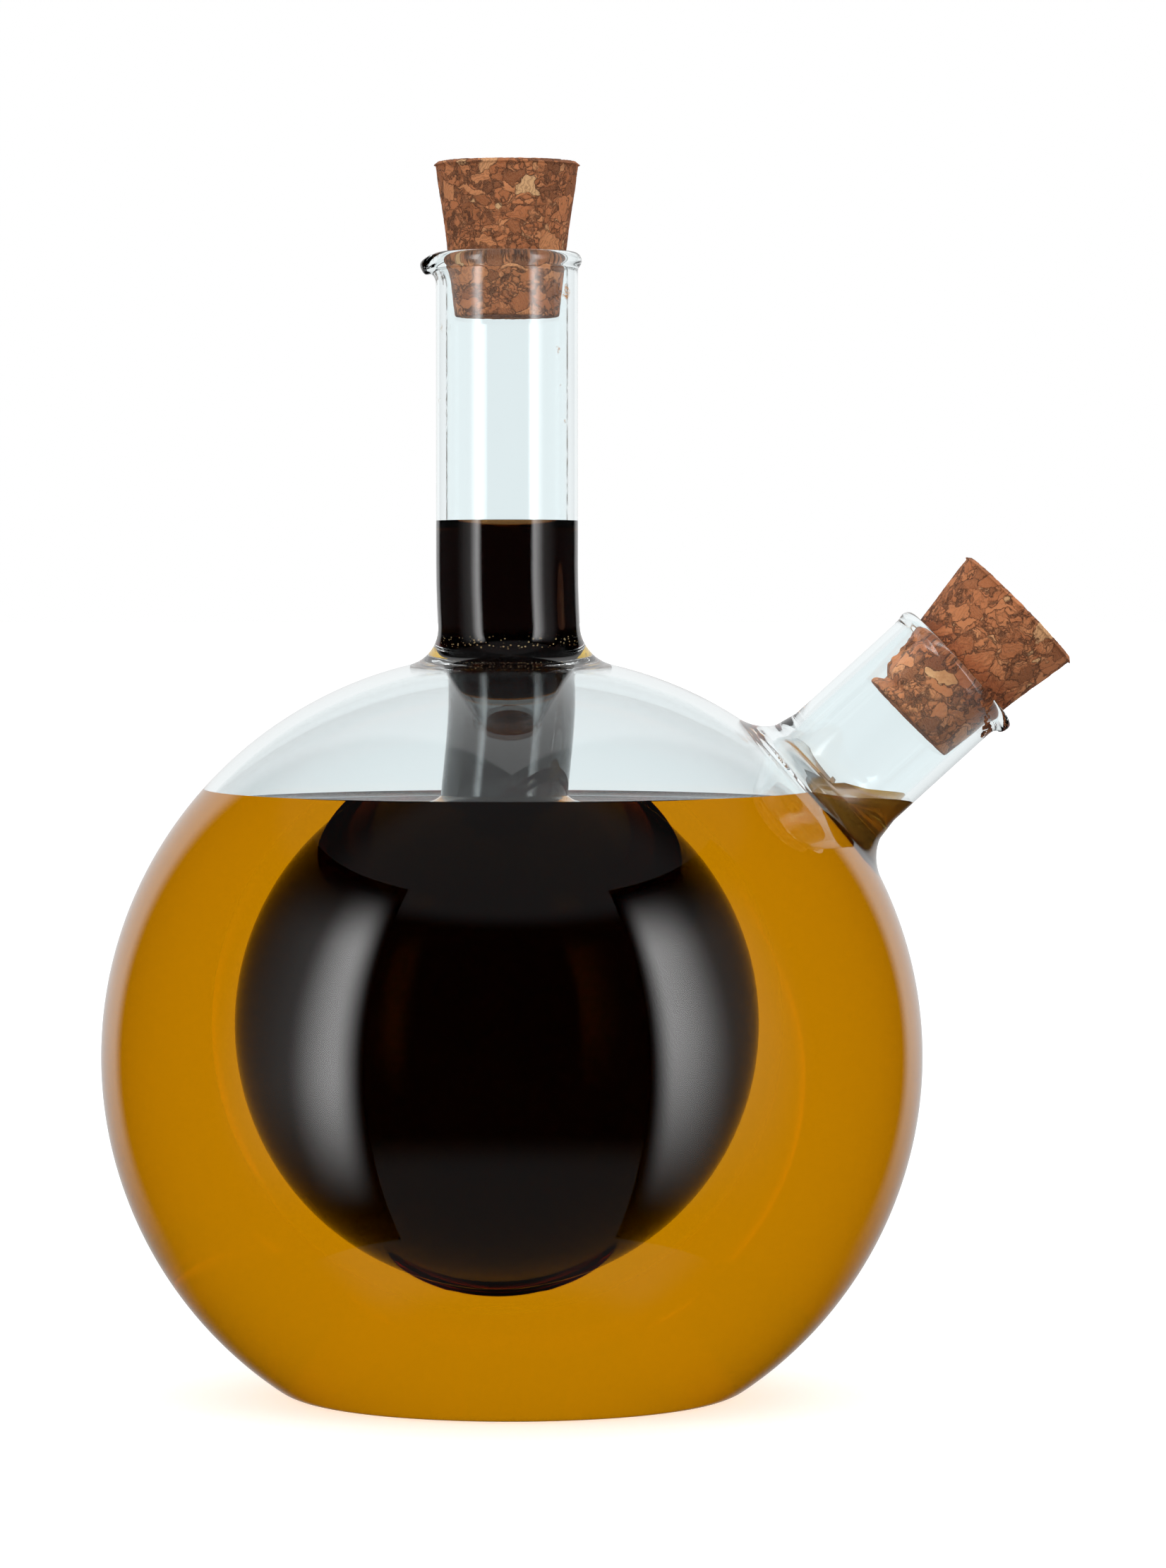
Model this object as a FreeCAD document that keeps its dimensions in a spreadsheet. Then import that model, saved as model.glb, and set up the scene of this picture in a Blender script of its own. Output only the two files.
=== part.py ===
import FreeCAD, Part
import os
import Sketcher

# Oil and vinegar cruet, in millimetres.
# A blown globe holds the oil, and a bulb fused inside it holds the vinegar.
# The frame stands on the foot: +Z is the axis of the neck, and the spout leans towards +X.
# Everything is drawn about the centre of the globe, and stood on the foot at the end.

SIZES = {
    # Outer globe and the flat foot it stands on.
    "globe_radius": 57.75,
    "globe_wall": 1.6,
    "foot_radius": 32.63,
    "foot_wall": 2.4,
    "heel_rounding": 8.0,
    # Neck, on the upright axis. Lengths of neck and spout count from the globe's skin.
    "neck_outside": 10.05,
    "neck_wall": 1.5,
    "neck_length": 56.8,
    "neck_flare": 5.6,
    # Side spout, on a line through the centre of the globe.
    "spout_lean": 47.6,
    "spout_outside": 10.3,
    "spout_wall": 1.5,
    "spout_length": 26.87,
    "spout_flare": 4.5,
    "bore_flare": 3.6,
    # Fire-polished rims: a bead outside and an eased edge inside.
    "bead_rounding": 1.25,
    "neck_bead_proud": 0.55,
    "spout_bead_proud": 0.25,
    "mouth_easing": 0.4,
    # Pour lips, pulled out of the hot rims and drooping outwards.
    "neck_lip_reach": 2.2,
    "neck_lip_droop": 32.0,
    "neck_lip_sink": 1.45,
    "spout_lip_reach": 3.2,
    "spout_lip_droop": 15.0,
    "spout_lip_sink": 1.15,
    "lip_root": 0.7,
    "lip_half_width": 4.4,
    "lip_half_thickness": 1.15,
    "trough_radius": 2.8,
    "trough_depth": 0.55,
    # Inner vessel: tube from the ring seal down to the bulb.
    "tube_outside": 9.0,
    "tube_wall": 1.4,
    "bulb_outside": 28.8,
    "bulb_wall": 1.1,
    "bulb_raise": 3.85,
    "bulb_shoulder": 4.0,
    "seal_depth": 1.4,
    "seal_taper": 5.0,
    "seal_rounding": 1.0,
    # Closing point of the bulb: a thick spot, domed inside and drawn out below.
    "dome_radius": 7.5,
    "dome_rise": 1.05,
    "dome_blend": 2.0,
    "nub_radius": 4.0,
    "nub_drop": 0.4,
    # Levels, from the crown of the globe, and the rounded edge where each climbs its wall.
    "oil_headroom": 21.2,
    "vinegar_in_neck": 18.5,
    "wall_meniscus": 0.9,
    "tube_meniscus": 1.6,
    "neck_meniscus": 1.6,
    # Tapered corks. Each small end is this much slimmer than the bore that it enters.
    "cork_length": 22.6,
    "cork_slope": 0.12,
    "cork_edge": 0.4,
    "top_cork_entry": 1.17,
    "side_cork_entry": 1.3,
    "cork_clearance": 0.06,
    "side_cork_cock": 2.1,
}

# Sizes that follow from others. Heights count from the centre of the globe.
CENTRE = "sqrt([globe_radius]^2 - [foot_radius]^2)"
SKIN = "([globe_radius] - [globe_wall])"
TUBE_BORE = "([tube_outside] - [tube_wall])"
BULB_BORE = "([bulb_outside] - [bulb_wall])"
SEAL = "([globe_radius] - [seal_depth])"
RIM = {"neck": "([globe_radius] + [neck_length])", "spout": "([globe_radius] + [spout_length])"}
BORE = {"neck": "([neck_outside] - [neck_wall])", "spout": "([spout_outside] - [spout_wall])"}
CORKS = {"top_cork": "neck", "side_cork": "spout"}

# Tools run past the faces they cut, and the barrels start inside the globe.
OVERRUN = 5.0
BARREL_ROOT = 30.0
# A trough is this many times as long as the reach of its lip.
TROUGH_RUN = 4
# Round edges are told apart by place, at this many points and with this slack.
TEST_POINTS = 9
SLACK = 0.02
# A placement keeps its axis only with a turn on it, and its expression then sets the angle.
UPRIGHT = FreeCAD.Vector(0, 0, 1)
SIDEWAYS = FreeCAD.Vector(0, 1, 0)
FIRST_TURN = 30.0

doc = FreeCAD.newDocument("Cruet")
sheet = doc.addObject("Spreadsheet::Sheet", "Sizes")
for row, (alias, number) in enumerate(SIZES.items(), start=1):
    sheet.set(f"A{row}", alias)
    sheet.set(f"B{row}", str(number))
    sheet.setAlias(f"B{row}", alias)
doc.recompute()


def on_sheet(expression):
    """An expression with each [size] written as the sheet's own name for it."""
    for alias in SIZES:
        expression = expression.replace(f"[{alias}]", f"Sizes.{alias}")
    return expression


def value(expression):
    """What an expression on the sheet's sizes comes to."""
    return float(sheet.evalExpression(on_sheet(expression)))


def bind(item, **properties):
    """Tie properties of an object to expressions on the sheet's sizes."""
    for name, expression in properties.items():
        item.setExpression(name.replace("__", "."), on_sheet(expression))


def origin_plane(body, role):
    """One of a body's own origin planes."""
    return next(item for item in body.Origin.OriginFeatures if item.Role == role)


def new_body(label):
    """An empty body."""
    body = doc.addObject("PartDesign::Body", label)
    body.Label = label
    return body


def outline(body, name, points, arcs):
    """A closed outline in the body's XZ plane, with its corners in order.

    points holds each corner's x and z as expressions. arcs gives, for the side that
    starts at a corner, the centre of its arc and whether it runs anticlockwise. Other
    sides are straight.
    """
    sketch = body.newObject("Sketcher::SketchObject", name)
    sketch.AttachmentSupport = [(origin_plane(body, "XZ_Plane"), "")]
    sketch.MapMode = "FlatFace"
    corners = [FreeCAD.Vector(value(x), value(z), 0) for x, z in points]
    ends = []
    for index, start in enumerate(corners):
        end = corners[(index + 1) % len(corners)]
        if index not in arcs:
            side = sketch.addGeometry(Part.LineSegment(start, end), False)
            ends.append((side, 1, 2))
            continue
        (x, z), anticlockwise = arcs[index]
        centre = FreeCAD.Vector(value(x), value(z), 0)
        circle = Part.Circle(centre, UPRIGHT, (start - centre).Length)
        first, last = (start, end) if anticlockwise else (end, start)
        angles = [circle.parameter(point) for point in (first, last)]
        side = sketch.addGeometry(Part.ArcOfCircle(circle, *angles), False)
        ends.append((side, 1, 2) if anticlockwise else (side, 2, 1))
    for index, (side, _, finish) in enumerate(ends):
        following, start, _ = ends[(index + 1) % len(ends)]
        sketch.addConstraint(Sketcher.Constraint("Coincident", side, finish, following, start))
    return sketch, ends


def dimension(sketch, kind, place, name, expression):
    """A named driving dimension of a sketch, tied to the sheet."""
    if kind == "Radius":
        arguments = (place[0], sketch.Geometry[place[0]].Radius)
    else:
        point = sketch.getPoint(*place)
        arguments = (-1, 1, *place, point.x if kind == "DistanceX" else point.y)
    number = sketch.addConstraint(Sketcher.Constraint(kind, *arguments))
    sketch.renameConstraint(number, name)
    bind(sketch, **{f"Constraints__{name}": expression})


def on_axis(sketch, *places):
    """Hold points of a sketch on the axis of revolution."""
    for geometry, point in places:
        sketch.addConstraint(Sketcher.Constraint("PointOnObject", geometry, point, -2))


def on_centre(sketch, arc):
    """Hold the centre of an arc on the centre of the globe."""
    sketch.addConstraint(Sketcher.Constraint("Coincident", arc, 3, -1, 1))


def level(sketch, *sides):
    """Hold sides of a sketch level."""
    for side in sides:
        sketch.addConstraint(Sketcher.Constraint("Horizontal", side))


def upright(sketch, *sides):
    """Hold sides of a sketch upright."""
    for side in sides:
        sketch.addConstraint(Sketcher.Constraint("Vertical", side))


def revolve(body, sketch, name):
    """Turn a sketch about the body's upright axis."""
    turned = body.newObject("PartDesign::Revolution", name)
    turned.Profile = sketch
    turned.ReferenceAxis = (sketch, ["V_Axis"])
    turned.Angle = 360.0
    sketch.Visibility = False
    doc.recompute()
    return turned


def rings(shape, radius, height, axis=UPRIGHT):
    """Names of a shape's round edges of one radius, at one height along an axis."""
    names = []
    for number, edge in enumerate(shape.Edges, start=1):
        if edge.Degenerated:
            continue
        points = edge.discretize(TEST_POINTS)
        along = [point.dot(axis) for point in points]
        away = [(point - axis * step).Length for point, step in zip(points, along)]
        off_height = max(abs(step - value(height)) for step in along)
        off_radius = max(abs(distance - value(radius)) for distance in away)
        if max(off_height, off_radius) < SLACK:
            names.append(f"Edge{number}")
    return names


def fillet(body, base, name, edges, radius):
    """A fillet inside a body on named edges of its latest feature."""
    rounded = body.newObject("PartDesign::Fillet", name)
    rounded.Base = (base, edges)
    bind(rounded, Radius=radius)
    doc.recompute()
    return rounded


def globe_form(body):
    """The solid outside of the globe: a ball cut flat at the foot, with a rounded heel."""
    foot = ("[foot_radius]", f"-{CENTRE}")
    points = [("0", foot[1]), foot, ("0", "[globe_radius]")]
    sketch, ends = outline(body, "globe_outline", points, {1: (("0", "0"), True)})
    (floor, start, _), (flank, corner, crown), _ = ends
    level(sketch, floor)
    on_axis(sketch, (floor, start), (flank, crown))
    on_centre(sketch, flank)
    dimension(sketch, "Radius", (flank,), "globe", "[globe_radius]")
    dimension(sketch, "DistanceX", (flank, corner), "foot", "[foot_radius]")
    turned = revolve(body, sketch, "globe_turned")
    fillet(body, turned, "heel", rings(turned.Shape, *foot), "[heel_rounding]")


def barrel_form(tube):
    """A solid tube with a fire-polished bead at its rim, along its own axis."""
    body = new_body(f"{tube}_form")
    outside, rim = f"[{tube}_outside]", RIM[tube]
    middle = (f"{outside} + [{tube}_bead_proud] - [bead_rounding]", f"{rim} - [bead_rounding]")
    under = f"({outside} - ({middle[0]}))"
    start = f"{middle[1]} - sqrt([bead_rounding]^2 - {under}^2)"
    root = str(BARREL_ROOT)
    points = [("0", root), (outside, root), (outside, start), (middle[0], rim), ("0", rim)]
    sketch, ends = outline(body, f"{tube}_outline", points, {2: (middle, True)})
    (base, _, _), (wall, _, _), (bead, _, finish), (land, _, _), (axis, _, _) = ends
    level(sketch, base, land)
    upright(sketch, wall)
    on_axis(sketch, (axis, 1), (axis, 2))
    dimension(sketch, "DistanceY", (base, 1), "root", root)
    dimension(sketch, "DistanceX", (wall, 1), "outside", outside)
    dimension(sketch, "Radius", (bead,), "rounding", "[bead_rounding]")
    dimension(sketch, "DistanceX", (bead, 3), "bead_x", middle[0])
    dimension(sketch, "DistanceY", (bead, 3), "bead_y", middle[1])
    dimension(sketch, "DistanceX", (bead, finish), "land_x", middle[0])
    revolve(body, sketch, f"{tube}_turned")
    return body


def ease_mouth(sketch, ease, tube):
    """Dimensions of the quarter round that eases a mouth from its bore to its rim."""
    side, start, finish = ease
    dimension(sketch, "DistanceX", (side, 3), "ease_x", f"{BORE[tube]} + [mouth_easing]")
    dimension(sketch, "DistanceY", (side, 3), "ease_y", f"{RIM[tube]} - [mouth_easing]")
    dimension(sketch, "DistanceY", (side, start), "ease_start", f"{RIM[tube]} - [mouth_easing]")
    dimension(sketch, "DistanceX", (side, finish), "ease_end", f"{BORE[tube]} + [mouth_easing]")


def spout_bore():
    """The bore of the side spout, with its eased mouth, along its own axis."""
    body = new_body("spout_bore")
    bore, rim = BORE["spout"], RIM["spout"]
    root = "([bulb_outside] + [globe_radius]) / 2"
    mouth, top = f"{bore} + [mouth_easing]", f"{rim} + {OVERRUN}"
    shelf = f"{rim} - [mouth_easing]"
    points = [("0", root), (bore, root), (bore, shelf), (mouth, rim), (mouth, top), ("0", top)]
    sketch, ends = outline(body, "bore_outline", points, {2: ((mouth, shelf), False)})
    base, wall, ease, flank, lid, axis = ends
    level(sketch, base[0], lid[0])
    upright(sketch, wall[0], flank[0])
    on_axis(sketch, axis[:2], (axis[0], axis[2]))
    dimension(sketch, "DistanceY", base[:2], "root", root)
    dimension(sketch, "DistanceX", wall[:2], "bore", bore)
    ease_mouth(sketch, ease, "spout")
    dimension(sketch, "DistanceY", lid[:2], "top", top)
    revolve(body, sketch, "bore_turned")
    return body


def lean(item, angle="[spout_lean]"):
    """Lean an item that was made along +Z over towards +X."""
    turn = FreeCAD.Rotation(SIDEWAYS, FIRST_TURN)
    item.Placement = FreeCAD.Placement(FreeCAD.Vector(), turn)
    bind(item, Placement__Rotation__Angle=angle)


def tilt_lip_piece(part, side, droop, x, z):
    """Tilt a piece of a pour lip down towards side * X and tie its place and tilt."""
    turn = FreeCAD.Rotation(side * SIDEWAYS, FIRST_TURN)
    part.Placement = FreeCAD.Placement(FreeCAD.Vector(), turn)
    bind(part, Placement__Base__x=f"{side} * ({x})", Placement__Base__z=z,
         Placement__Rotation__Angle=droop)


def lip_form(tube, side):
    """The drooping beak of a pour lip, beside the rim of a tube that stands along +Z."""
    body = new_body(f"{tube}_lip")
    beak = body.newObject("PartDesign::AdditiveEllipsoid", f"{tube}_beak")
    half = f"([{tube}_lip_reach] + [lip_root])"
    bind(beak, Radius1="[lip_half_thickness]", Radius2=half, Radius3="[lip_half_width]")
    x = f"[{tube}_outside] + [{tube}_lip_reach] - {half} * cos([{tube}_lip_droop] * 1deg)"
    tilt_lip_piece(beak, side, f"[{tube}_lip_droop]", x, f"{RIM[tube]} - [{tube}_lip_sink]")
    doc.recompute()
    return body


def lip_trough(tube, side):
    """The round trough that runs down the top of a pour lip."""
    body = new_body(f"{tube}_trough")
    trough = body.newObject("PartDesign::AdditiveCylinder", f"{tube}_round")
    bind(trough, Radius="[trough_radius]", Height=f"{TROUGH_RUN} * [{tube}_lip_reach]")
    tilt_lip_piece(trough, side, f"90 + [{tube}_lip_droop]", BORE[tube],
                   f"{RIM[tube]} + [trough_radius] - [trough_depth]")
    doc.recompute()
    return body


def join(body, name, kind, *others):
    """Fuse other bodies to a body, or cut them from it."""
    result = body.newObject("PartDesign::Boolean", name)
    result.Type = kind
    result.setObjects(list(others))
    doc.recompute()
    return result


def spout_axis():
    """The direction of the side spout."""
    return FreeCAD.Rotation(SIDEWAYS, value("[spout_lean]")).multVec(UPRIGHT)


def hollow_sphere(body, name, radius, height):
    """A sphere on the upright axis, taken out of a body."""
    sphere = body.newObject("PartDesign::SubtractiveSphere", name)
    bind(sphere, Radius=radius, Placement__Base__z=height)
    doc.recompute()
    return sphere


def oil_space(body):
    """The space between globe and inner vessel: foot, flank, tube and bulb in one outline."""
    floor_z = f"[foot_wall] - {CENTRE}"
    foot = (f"sqrt({SKIN}^2 - ({floor_z})^2)", floor_z)
    crown = ("[tube_outside]", f"sqrt({SKIN}^2 - [tube_outside]^2)")
    joint = ("[tube_outside]", "[bulb_raise] + sqrt([bulb_outside]^2 - [tube_outside]^2)")
    lowest = "[bulb_raise] - [bulb_outside]"
    points = [("0", floor_z), foot, crown, joint, ("0", lowest)]
    arcs = {1: (("0", "0"), True), 3: (("0", "[bulb_raise]"), False)}
    sketch, ends = outline(body, "oil_outline", points, arcs)
    (floor, start, _), (flank, _, finish), (tube_side, _, _), (ball, _, pole) = ends[:4]
    level(sketch, floor)
    upright(sketch, tube_side)
    on_axis(sketch, (floor, start), (ball, pole), (ball, 3))
    on_centre(sketch, flank)
    dimension(sketch, "DistanceY", (floor, start), "floor", floor_z)
    dimension(sketch, "Radius", (flank,), "skin", SKIN)
    dimension(sketch, "DistanceX", (flank, finish), "tube", "[tube_outside]")
    dimension(sketch, "DistanceY", (ball, 3), "bulb_centre", "[bulb_raise]")
    dimension(sketch, "Radius", (ball,), "bulb", "[bulb_outside]")
    latest = revolve(body, sketch, "oil_turned")
    latest = fillet(body, latest, "inner_heel", rings(latest.Shape, *foot),
                    "[heel_rounding] - [foot_wall]")
    latest = fillet(body, latest, "seal_fillet", rings(latest.Shape, *crown), "[seal_rounding]")
    fillet(body, latest, "bulb_shoulder_fillet", rings(latest.Shape, *joint), "[bulb_shoulder]")
    hollow_sphere(body, "nub", "[nub_radius]", f"{lowest} - [nub_drop] + [nub_radius]")


def vinegar_space(body):
    """The space inside neck, tube and bulb, open at the rim."""
    bore, rim = BORE["neck"], RIM["neck"]
    joint = (TUBE_BORE, f"[bulb_raise] + sqrt({BULB_BORE}^2 - {TUBE_BORE}^2)")
    lowest = f"[bulb_raise] - {BULB_BORE}"
    taper, shelf = f"{SEAL} + [seal_taper]", f"{rim} - [mouth_easing]"
    mouth, top = f"{bore} + [mouth_easing]", f"{rim} + {OVERRUN}"
    points = [("0", lowest), joint, (TUBE_BORE, SEAL), (bore, taper), (bore, shelf),
              (mouth, rim), (mouth, top), ("0", top)]
    arcs = {0: (("0", "[bulb_raise]"), True), 4: ((mouth, shelf), False)}
    sketch, ends = outline(body, "vinegar_outline", points, arcs)
    ball, tube_side, slope, wall, ease, flank, lid, axis = ends
    level(sketch, lid[0])
    upright(sketch, tube_side[0], wall[0], flank[0])
    on_axis(sketch, ball[:2], (ball[0], 3), axis[:2])
    dimension(sketch, "DistanceY", (ball[0], 3), "bulb_centre", "[bulb_raise]")
    dimension(sketch, "Radius", ball[:1], "bulb", BULB_BORE)
    dimension(sketch, "DistanceX", slope[:2], "tube_bore", TUBE_BORE)
    dimension(sketch, "DistanceY", slope[:2], "seal", SEAL)
    dimension(sketch, "DistanceX", wall[:2], "neck_bore", bore)
    dimension(sketch, "DistanceY", wall[:2], "taper", taper)
    ease_mouth(sketch, ease, "neck")
    dimension(sketch, "DistanceY", lid[:2], "top", top)
    latest = revolve(body, sketch, "vinegar_turned")
    fillet(body, latest, "bulb_mouth", rings(latest.Shape, *joint),
           "[bulb_shoulder] + [tube_wall]")
    dome = hollow_sphere(body, "closing_dome", "[dome_radius]",
                         f"{lowest} + [dome_rise] - [dome_radius]")
    apart = f"({BULB_BORE} + [dome_radius] - [dome_rise])"
    below = f"(({apart}^2 + {BULB_BORE}^2 - [dome_radius]^2) / (2 * {apart}))"
    edge = (f"sqrt({BULB_BORE}^2 - {below}^2)", f"[bulb_raise] - {below}")
    fillet(body, dome, "dome_blend_fillet", rings(dome.Shape, *edge), "[dome_blend]")


def vessel_form():
    """The whole glass as a solid: globe, barrels, flares, lips and troughs."""
    body = new_body("vessel_form")
    globe_form(body)
    barrels = [barrel_form("neck"), barrel_form("spout")]
    lean(barrels[1])
    latest = join(body, "barrels", "Fuse", *barrels)
    for tube, axis in (("neck", UPRIGHT), ("spout", spout_axis())):
        height = f"sqrt([globe_radius]^2 - [{tube}_outside]^2)"
        edges = rings(latest.Shape, f"[{tube}_outside]", height, axis)
        latest = fillet(body, latest, f"{tube}_flare_fillet", edges, f"[{tube}_flare]")
    beaks = [lip_form("neck", -1), lip_form("spout", 1)]
    troughs = [lip_trough("neck", -1), lip_trough("spout", 1)]
    lean(beaks[1])
    lean(troughs[1])
    join(body, "lips", "Fuse", *beaks)
    join(body, "troughs", "Cut", *troughs)
    return body


def oil_room():
    """The space for oil, with the bore of the side spout opening into it."""
    body = new_body("oil_room")
    oil_space(body)
    bore = spout_bore()
    lean(bore)
    latest = join(body, "bore_joined", "Fuse", bore)
    height = f"sqrt({SKIN}^2 - {BORE['spout']}^2)"
    edges = rings(latest.Shape, BORE["spout"], height, spout_axis())
    fillet(body, latest, "bore_flare_fillet", edges, "[bore_flare]")
    return body


def vinegar_room():
    """The space for vinegar."""
    body = new_body("vinegar_room")
    vinegar_space(body)
    return body


def cut(label, base, tool):
    """A base with a tool cut from it."""
    result = doc.addObject("Part::Cut", label)
    result.Label = label
    result.Base, result.Tool = base, tool
    doc.recompute()
    return result


def fill(label, room, surface, menisci):
    """A room filled to a level, its surface climbing each wall in a small hollow curve.

    menisci pairs the name of a size with a test of the surface edges that it rounds.
    The box of air above the level reaches well past the globe and the spout.
    """
    above = doc.addObject("Part::Box", f"above_{label}")
    bind(above, Length="4 * [globe_radius]", Width="2 * [globe_radius]",
         Height="2 * [globe_radius] + [neck_length]", Placement__Base__x="-[globe_radius]",
         Placement__Base__y="-[globe_radius]", Placement__Base__z=surface)
    air = doc.addObject("Part::Common", f"air_over_{label}")
    air.Base, air.Tool = room, above
    doc.recompute()
    edges = [(number, edge) for number, edge in enumerate(air.Shape.Edges, start=1)
             if edge.BoundBox.ZMax < value(surface) + SLACK]
    hollow = doc.addObject("Part::Fillet", f"hollow_of_{label}")
    hollow.Base = air
    hollow.Edges = [(number, value(name), value(name))
                    for name, belongs in menisci for number, edge in edges if belongs(edge)]
    doc.recompute()
    return cut(label, room, hollow)


def on_inner_vessel(edge):
    """Whether an edge of an air space lies on the tube or bulb, or within the neck."""
    return edge.BoundBox.XMax < value("[bulb_outside]") + SLACK


def on_outer_vessel(edge):
    """Whether an edge of an air space lies on the globe or the spout."""
    return not on_inner_vessel(edge)


def cork(label):
    """A tapered cork with broken edges, along +Z from the middle of its small end."""
    body = new_body(label)
    small = f"({BORE[CORKS[label]]} - [{label}_entry])"
    large = f"{small} + [cork_length] * [cork_slope]"
    cone = body.newObject("PartDesign::AdditiveCone", f"{label}_cone")
    bind(cone, Radius1=small, Radius2=large, Height="[cork_length]")
    doc.recompute()
    edges = rings(cone.Shape, small, "0") + rings(cone.Shape, large, "[cork_length]")
    broken = body.newObject("PartDesign::Chamfer", f"{label}_edges")
    broken.Base = (cone, edges)
    bind(broken, Size="[cork_edge]")
    doc.recompute()
    return body


def seat_depth(label):
    """How far a cork goes in before its taper all but fills the mouth of its bore."""
    return f"([{label}_entry] - [cork_clearance]) / [cork_slope]"


def seated_top_cork():
    """The cork of the neck, upright in its mouth."""
    body = cork("top_cork")
    bind(body, Placement__Base__z=f"{CENTRE} + {RIM['neck']} - {seat_depth('top_cork')}")
    return body


def seated_side_cork():
    """The cork of the spout, cocked a little about the middle of the mouth."""
    body = cork("side_cork")
    depth = seat_depth("side_cork")
    straight = "([spout_lean] * 1deg)"
    cocked = "(([spout_lean] - [side_cork_cock]) * 1deg)"
    lean(body, cocked)
    rim = RIM["spout"]
    bind(body, Placement__Base__x=f"{rim} * sin{straight} - {depth} * sin{cocked}",
         Placement__Base__z=f"{CENTRE} + {rim} * cos{straight} - {depth} * cos{cocked}")
    return body


def standing(item):
    """An item that was drawn about the globe's centre, raised to stand on the foot."""
    bind(item, Placement__Base__z=CENTRE)
    return item


vessel = vessel_form()
oil = oil_room()
vinegar = vinegar_room()
oil_level = "[globe_radius] - [oil_headroom]"
oil_menisci = [("[tube_meniscus]", on_inner_vessel), ("[wall_meniscus]", on_outer_vessel)]
vinegar_level = "[globe_radius] + [vinegar_in_neck]"
vinegar_menisci = [("[neck_meniscus]", on_inner_vessel)]
subparts = [
    standing(cut("glass_vessel", cut("vessel_over_oil", vessel, oil), vinegar)),
    standing(fill("oil_fill", oil, oil_level, oil_menisci)),
    standing(fill("vinegar_fill", vinegar, vinegar_level, vinegar_menisci)),
    seated_top_cork(),
    seated_side_cork(),
]
doc.recompute()

for item in doc.Objects:
    if "Invalid" in item.State or "Error" in item.State:
        raise RuntimeError(f"{item.Label} failed: {item.State}")
for item in subparts:
    if item.Shape.isNull() or not item.Shape.isValid() or len(item.Shape.Solids) != 1:
        raise RuntimeError(f"{item.Label} is not one valid solid")

os.makedirs("parts", exist_ok=True)
for item in subparts:
    item.Shape.exportStep(f"parts/{item.Label}.step")
    box = item.Shape.BoundBox
    print(f"{item.Label}: {item.Shape.Volume:.0f} mm3, "
          f"x {box.XMin:.2f} to {box.XMax:.2f}, z {box.ZMin:.2f} to {box.ZMax:.2f}")
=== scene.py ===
import bmesh
import bpy
import numpy as np
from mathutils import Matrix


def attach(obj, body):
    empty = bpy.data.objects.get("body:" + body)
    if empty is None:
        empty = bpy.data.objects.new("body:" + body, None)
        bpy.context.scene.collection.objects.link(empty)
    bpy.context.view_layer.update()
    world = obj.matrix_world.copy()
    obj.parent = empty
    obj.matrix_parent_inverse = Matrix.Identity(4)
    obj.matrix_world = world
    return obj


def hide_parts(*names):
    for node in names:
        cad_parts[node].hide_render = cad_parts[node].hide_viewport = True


# A blown double cruet on a pale floor, in the frame of its construction.
# Sizes are in millimetres until a mesh is made, with the neck's axis along Z.

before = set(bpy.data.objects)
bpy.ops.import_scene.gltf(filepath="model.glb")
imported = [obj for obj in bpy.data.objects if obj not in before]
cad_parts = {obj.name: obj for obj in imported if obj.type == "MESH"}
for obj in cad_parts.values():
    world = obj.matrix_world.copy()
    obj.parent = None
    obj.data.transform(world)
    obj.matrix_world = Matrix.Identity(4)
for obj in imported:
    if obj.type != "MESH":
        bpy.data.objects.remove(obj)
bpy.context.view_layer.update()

MM = 0.001

# The globe is a little wider than it is high: its side is an arc whose centre is off the axis.
SIDE_CENTRE = (1.2, 48.4)
SIDE_RADIUS = 57.0
GLOBE_WALL = 1.6
FOOT_WALL = 2.4
HEEL = 8.0
FOOT_HOLLOW = 0.35

# The neck, and the tube that carries on from it through the oil.
NECK_OUTSIDE = 10.05
NECK_BORE = 8.55
NECK_RIM = 162.2
NECK_FLARE = 5.6
TUBE_OUTSIDE = 9.0
TUBE_BORE = 7.6
SEAL_HEIGHT = 104.0
SEAL_TAPER = 5.0

# The inner bulb.
BULB_HEIGHT = 51.5
BULB_CENTRE = (0.0, BULB_HEIGHT)
BULB_OUTSIDE = 28.8
BULB_BORE = 27.7
BULB_SHOULDER = 4.0
BULB_ASIDE = 1.5
NECK_ASIDE = 0.7

# The side spout, on a line through a point of the neck's axis.
SPOUT_ROOT = np.array((0.0, 0.0, 46.3))
SPOUT_LEAN = np.radians(47.65)
SPOUT_AXIS = np.array((np.sin(SPOUT_LEAN), 0.0, np.cos(SPOUT_LEAN)))
SPOUT_DOWN = np.array((np.cos(SPOUT_LEAN), 0.0, -np.sin(SPOUT_LEAN)))
SIDEWAYS = np.array((0.0, 1.0, 0.0))
SPOUT_OUTSIDE = 10.3
SPOUT_BORE = 8.8
SPOUT_RIM = 85.7
SPOUT_FLARE = 4.8
BORE_FLARE = 3.6
MEAN_GLOBE = 57.75

# Rims are beads on the last stretch of a wall. A pour lip has the middle of the wall, the
# length that is bent, the angle of the bend and its spread to both sides.
BEAD = 1.25
RIM_STRETCH = 6.0
RIM_SOFT = 0.35
NECK_LIP = (9.3, 4.6, 95.0, 24.0)
SPOUT_LIP = (9.55, 3.7, 72.0, 27.0)

# Roundings of the ring seal, and of the crown inside and the nub outside the bulb's bottom.
SEAL_ROUND = 1.0
CROWN_RISE, CROWN_ROUND = 0.5, 7.5
NUB_DROP, NUB_ROUND = 0.4, 4.0

# Liquid levels, and the height at which each surface meets its wall.
OIL_LEVEL = 84.2
OIL_AT_GLOBE = 85.3
OIL_AT_TUBE = 85.3
VINEGAR_LEVEL = 122.7
VINEGAR_AT_NECK = 124.25
# How far a liquid's skin lies from the glass's, because two skins at one place turn black.
HAIR = 0.03

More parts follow.
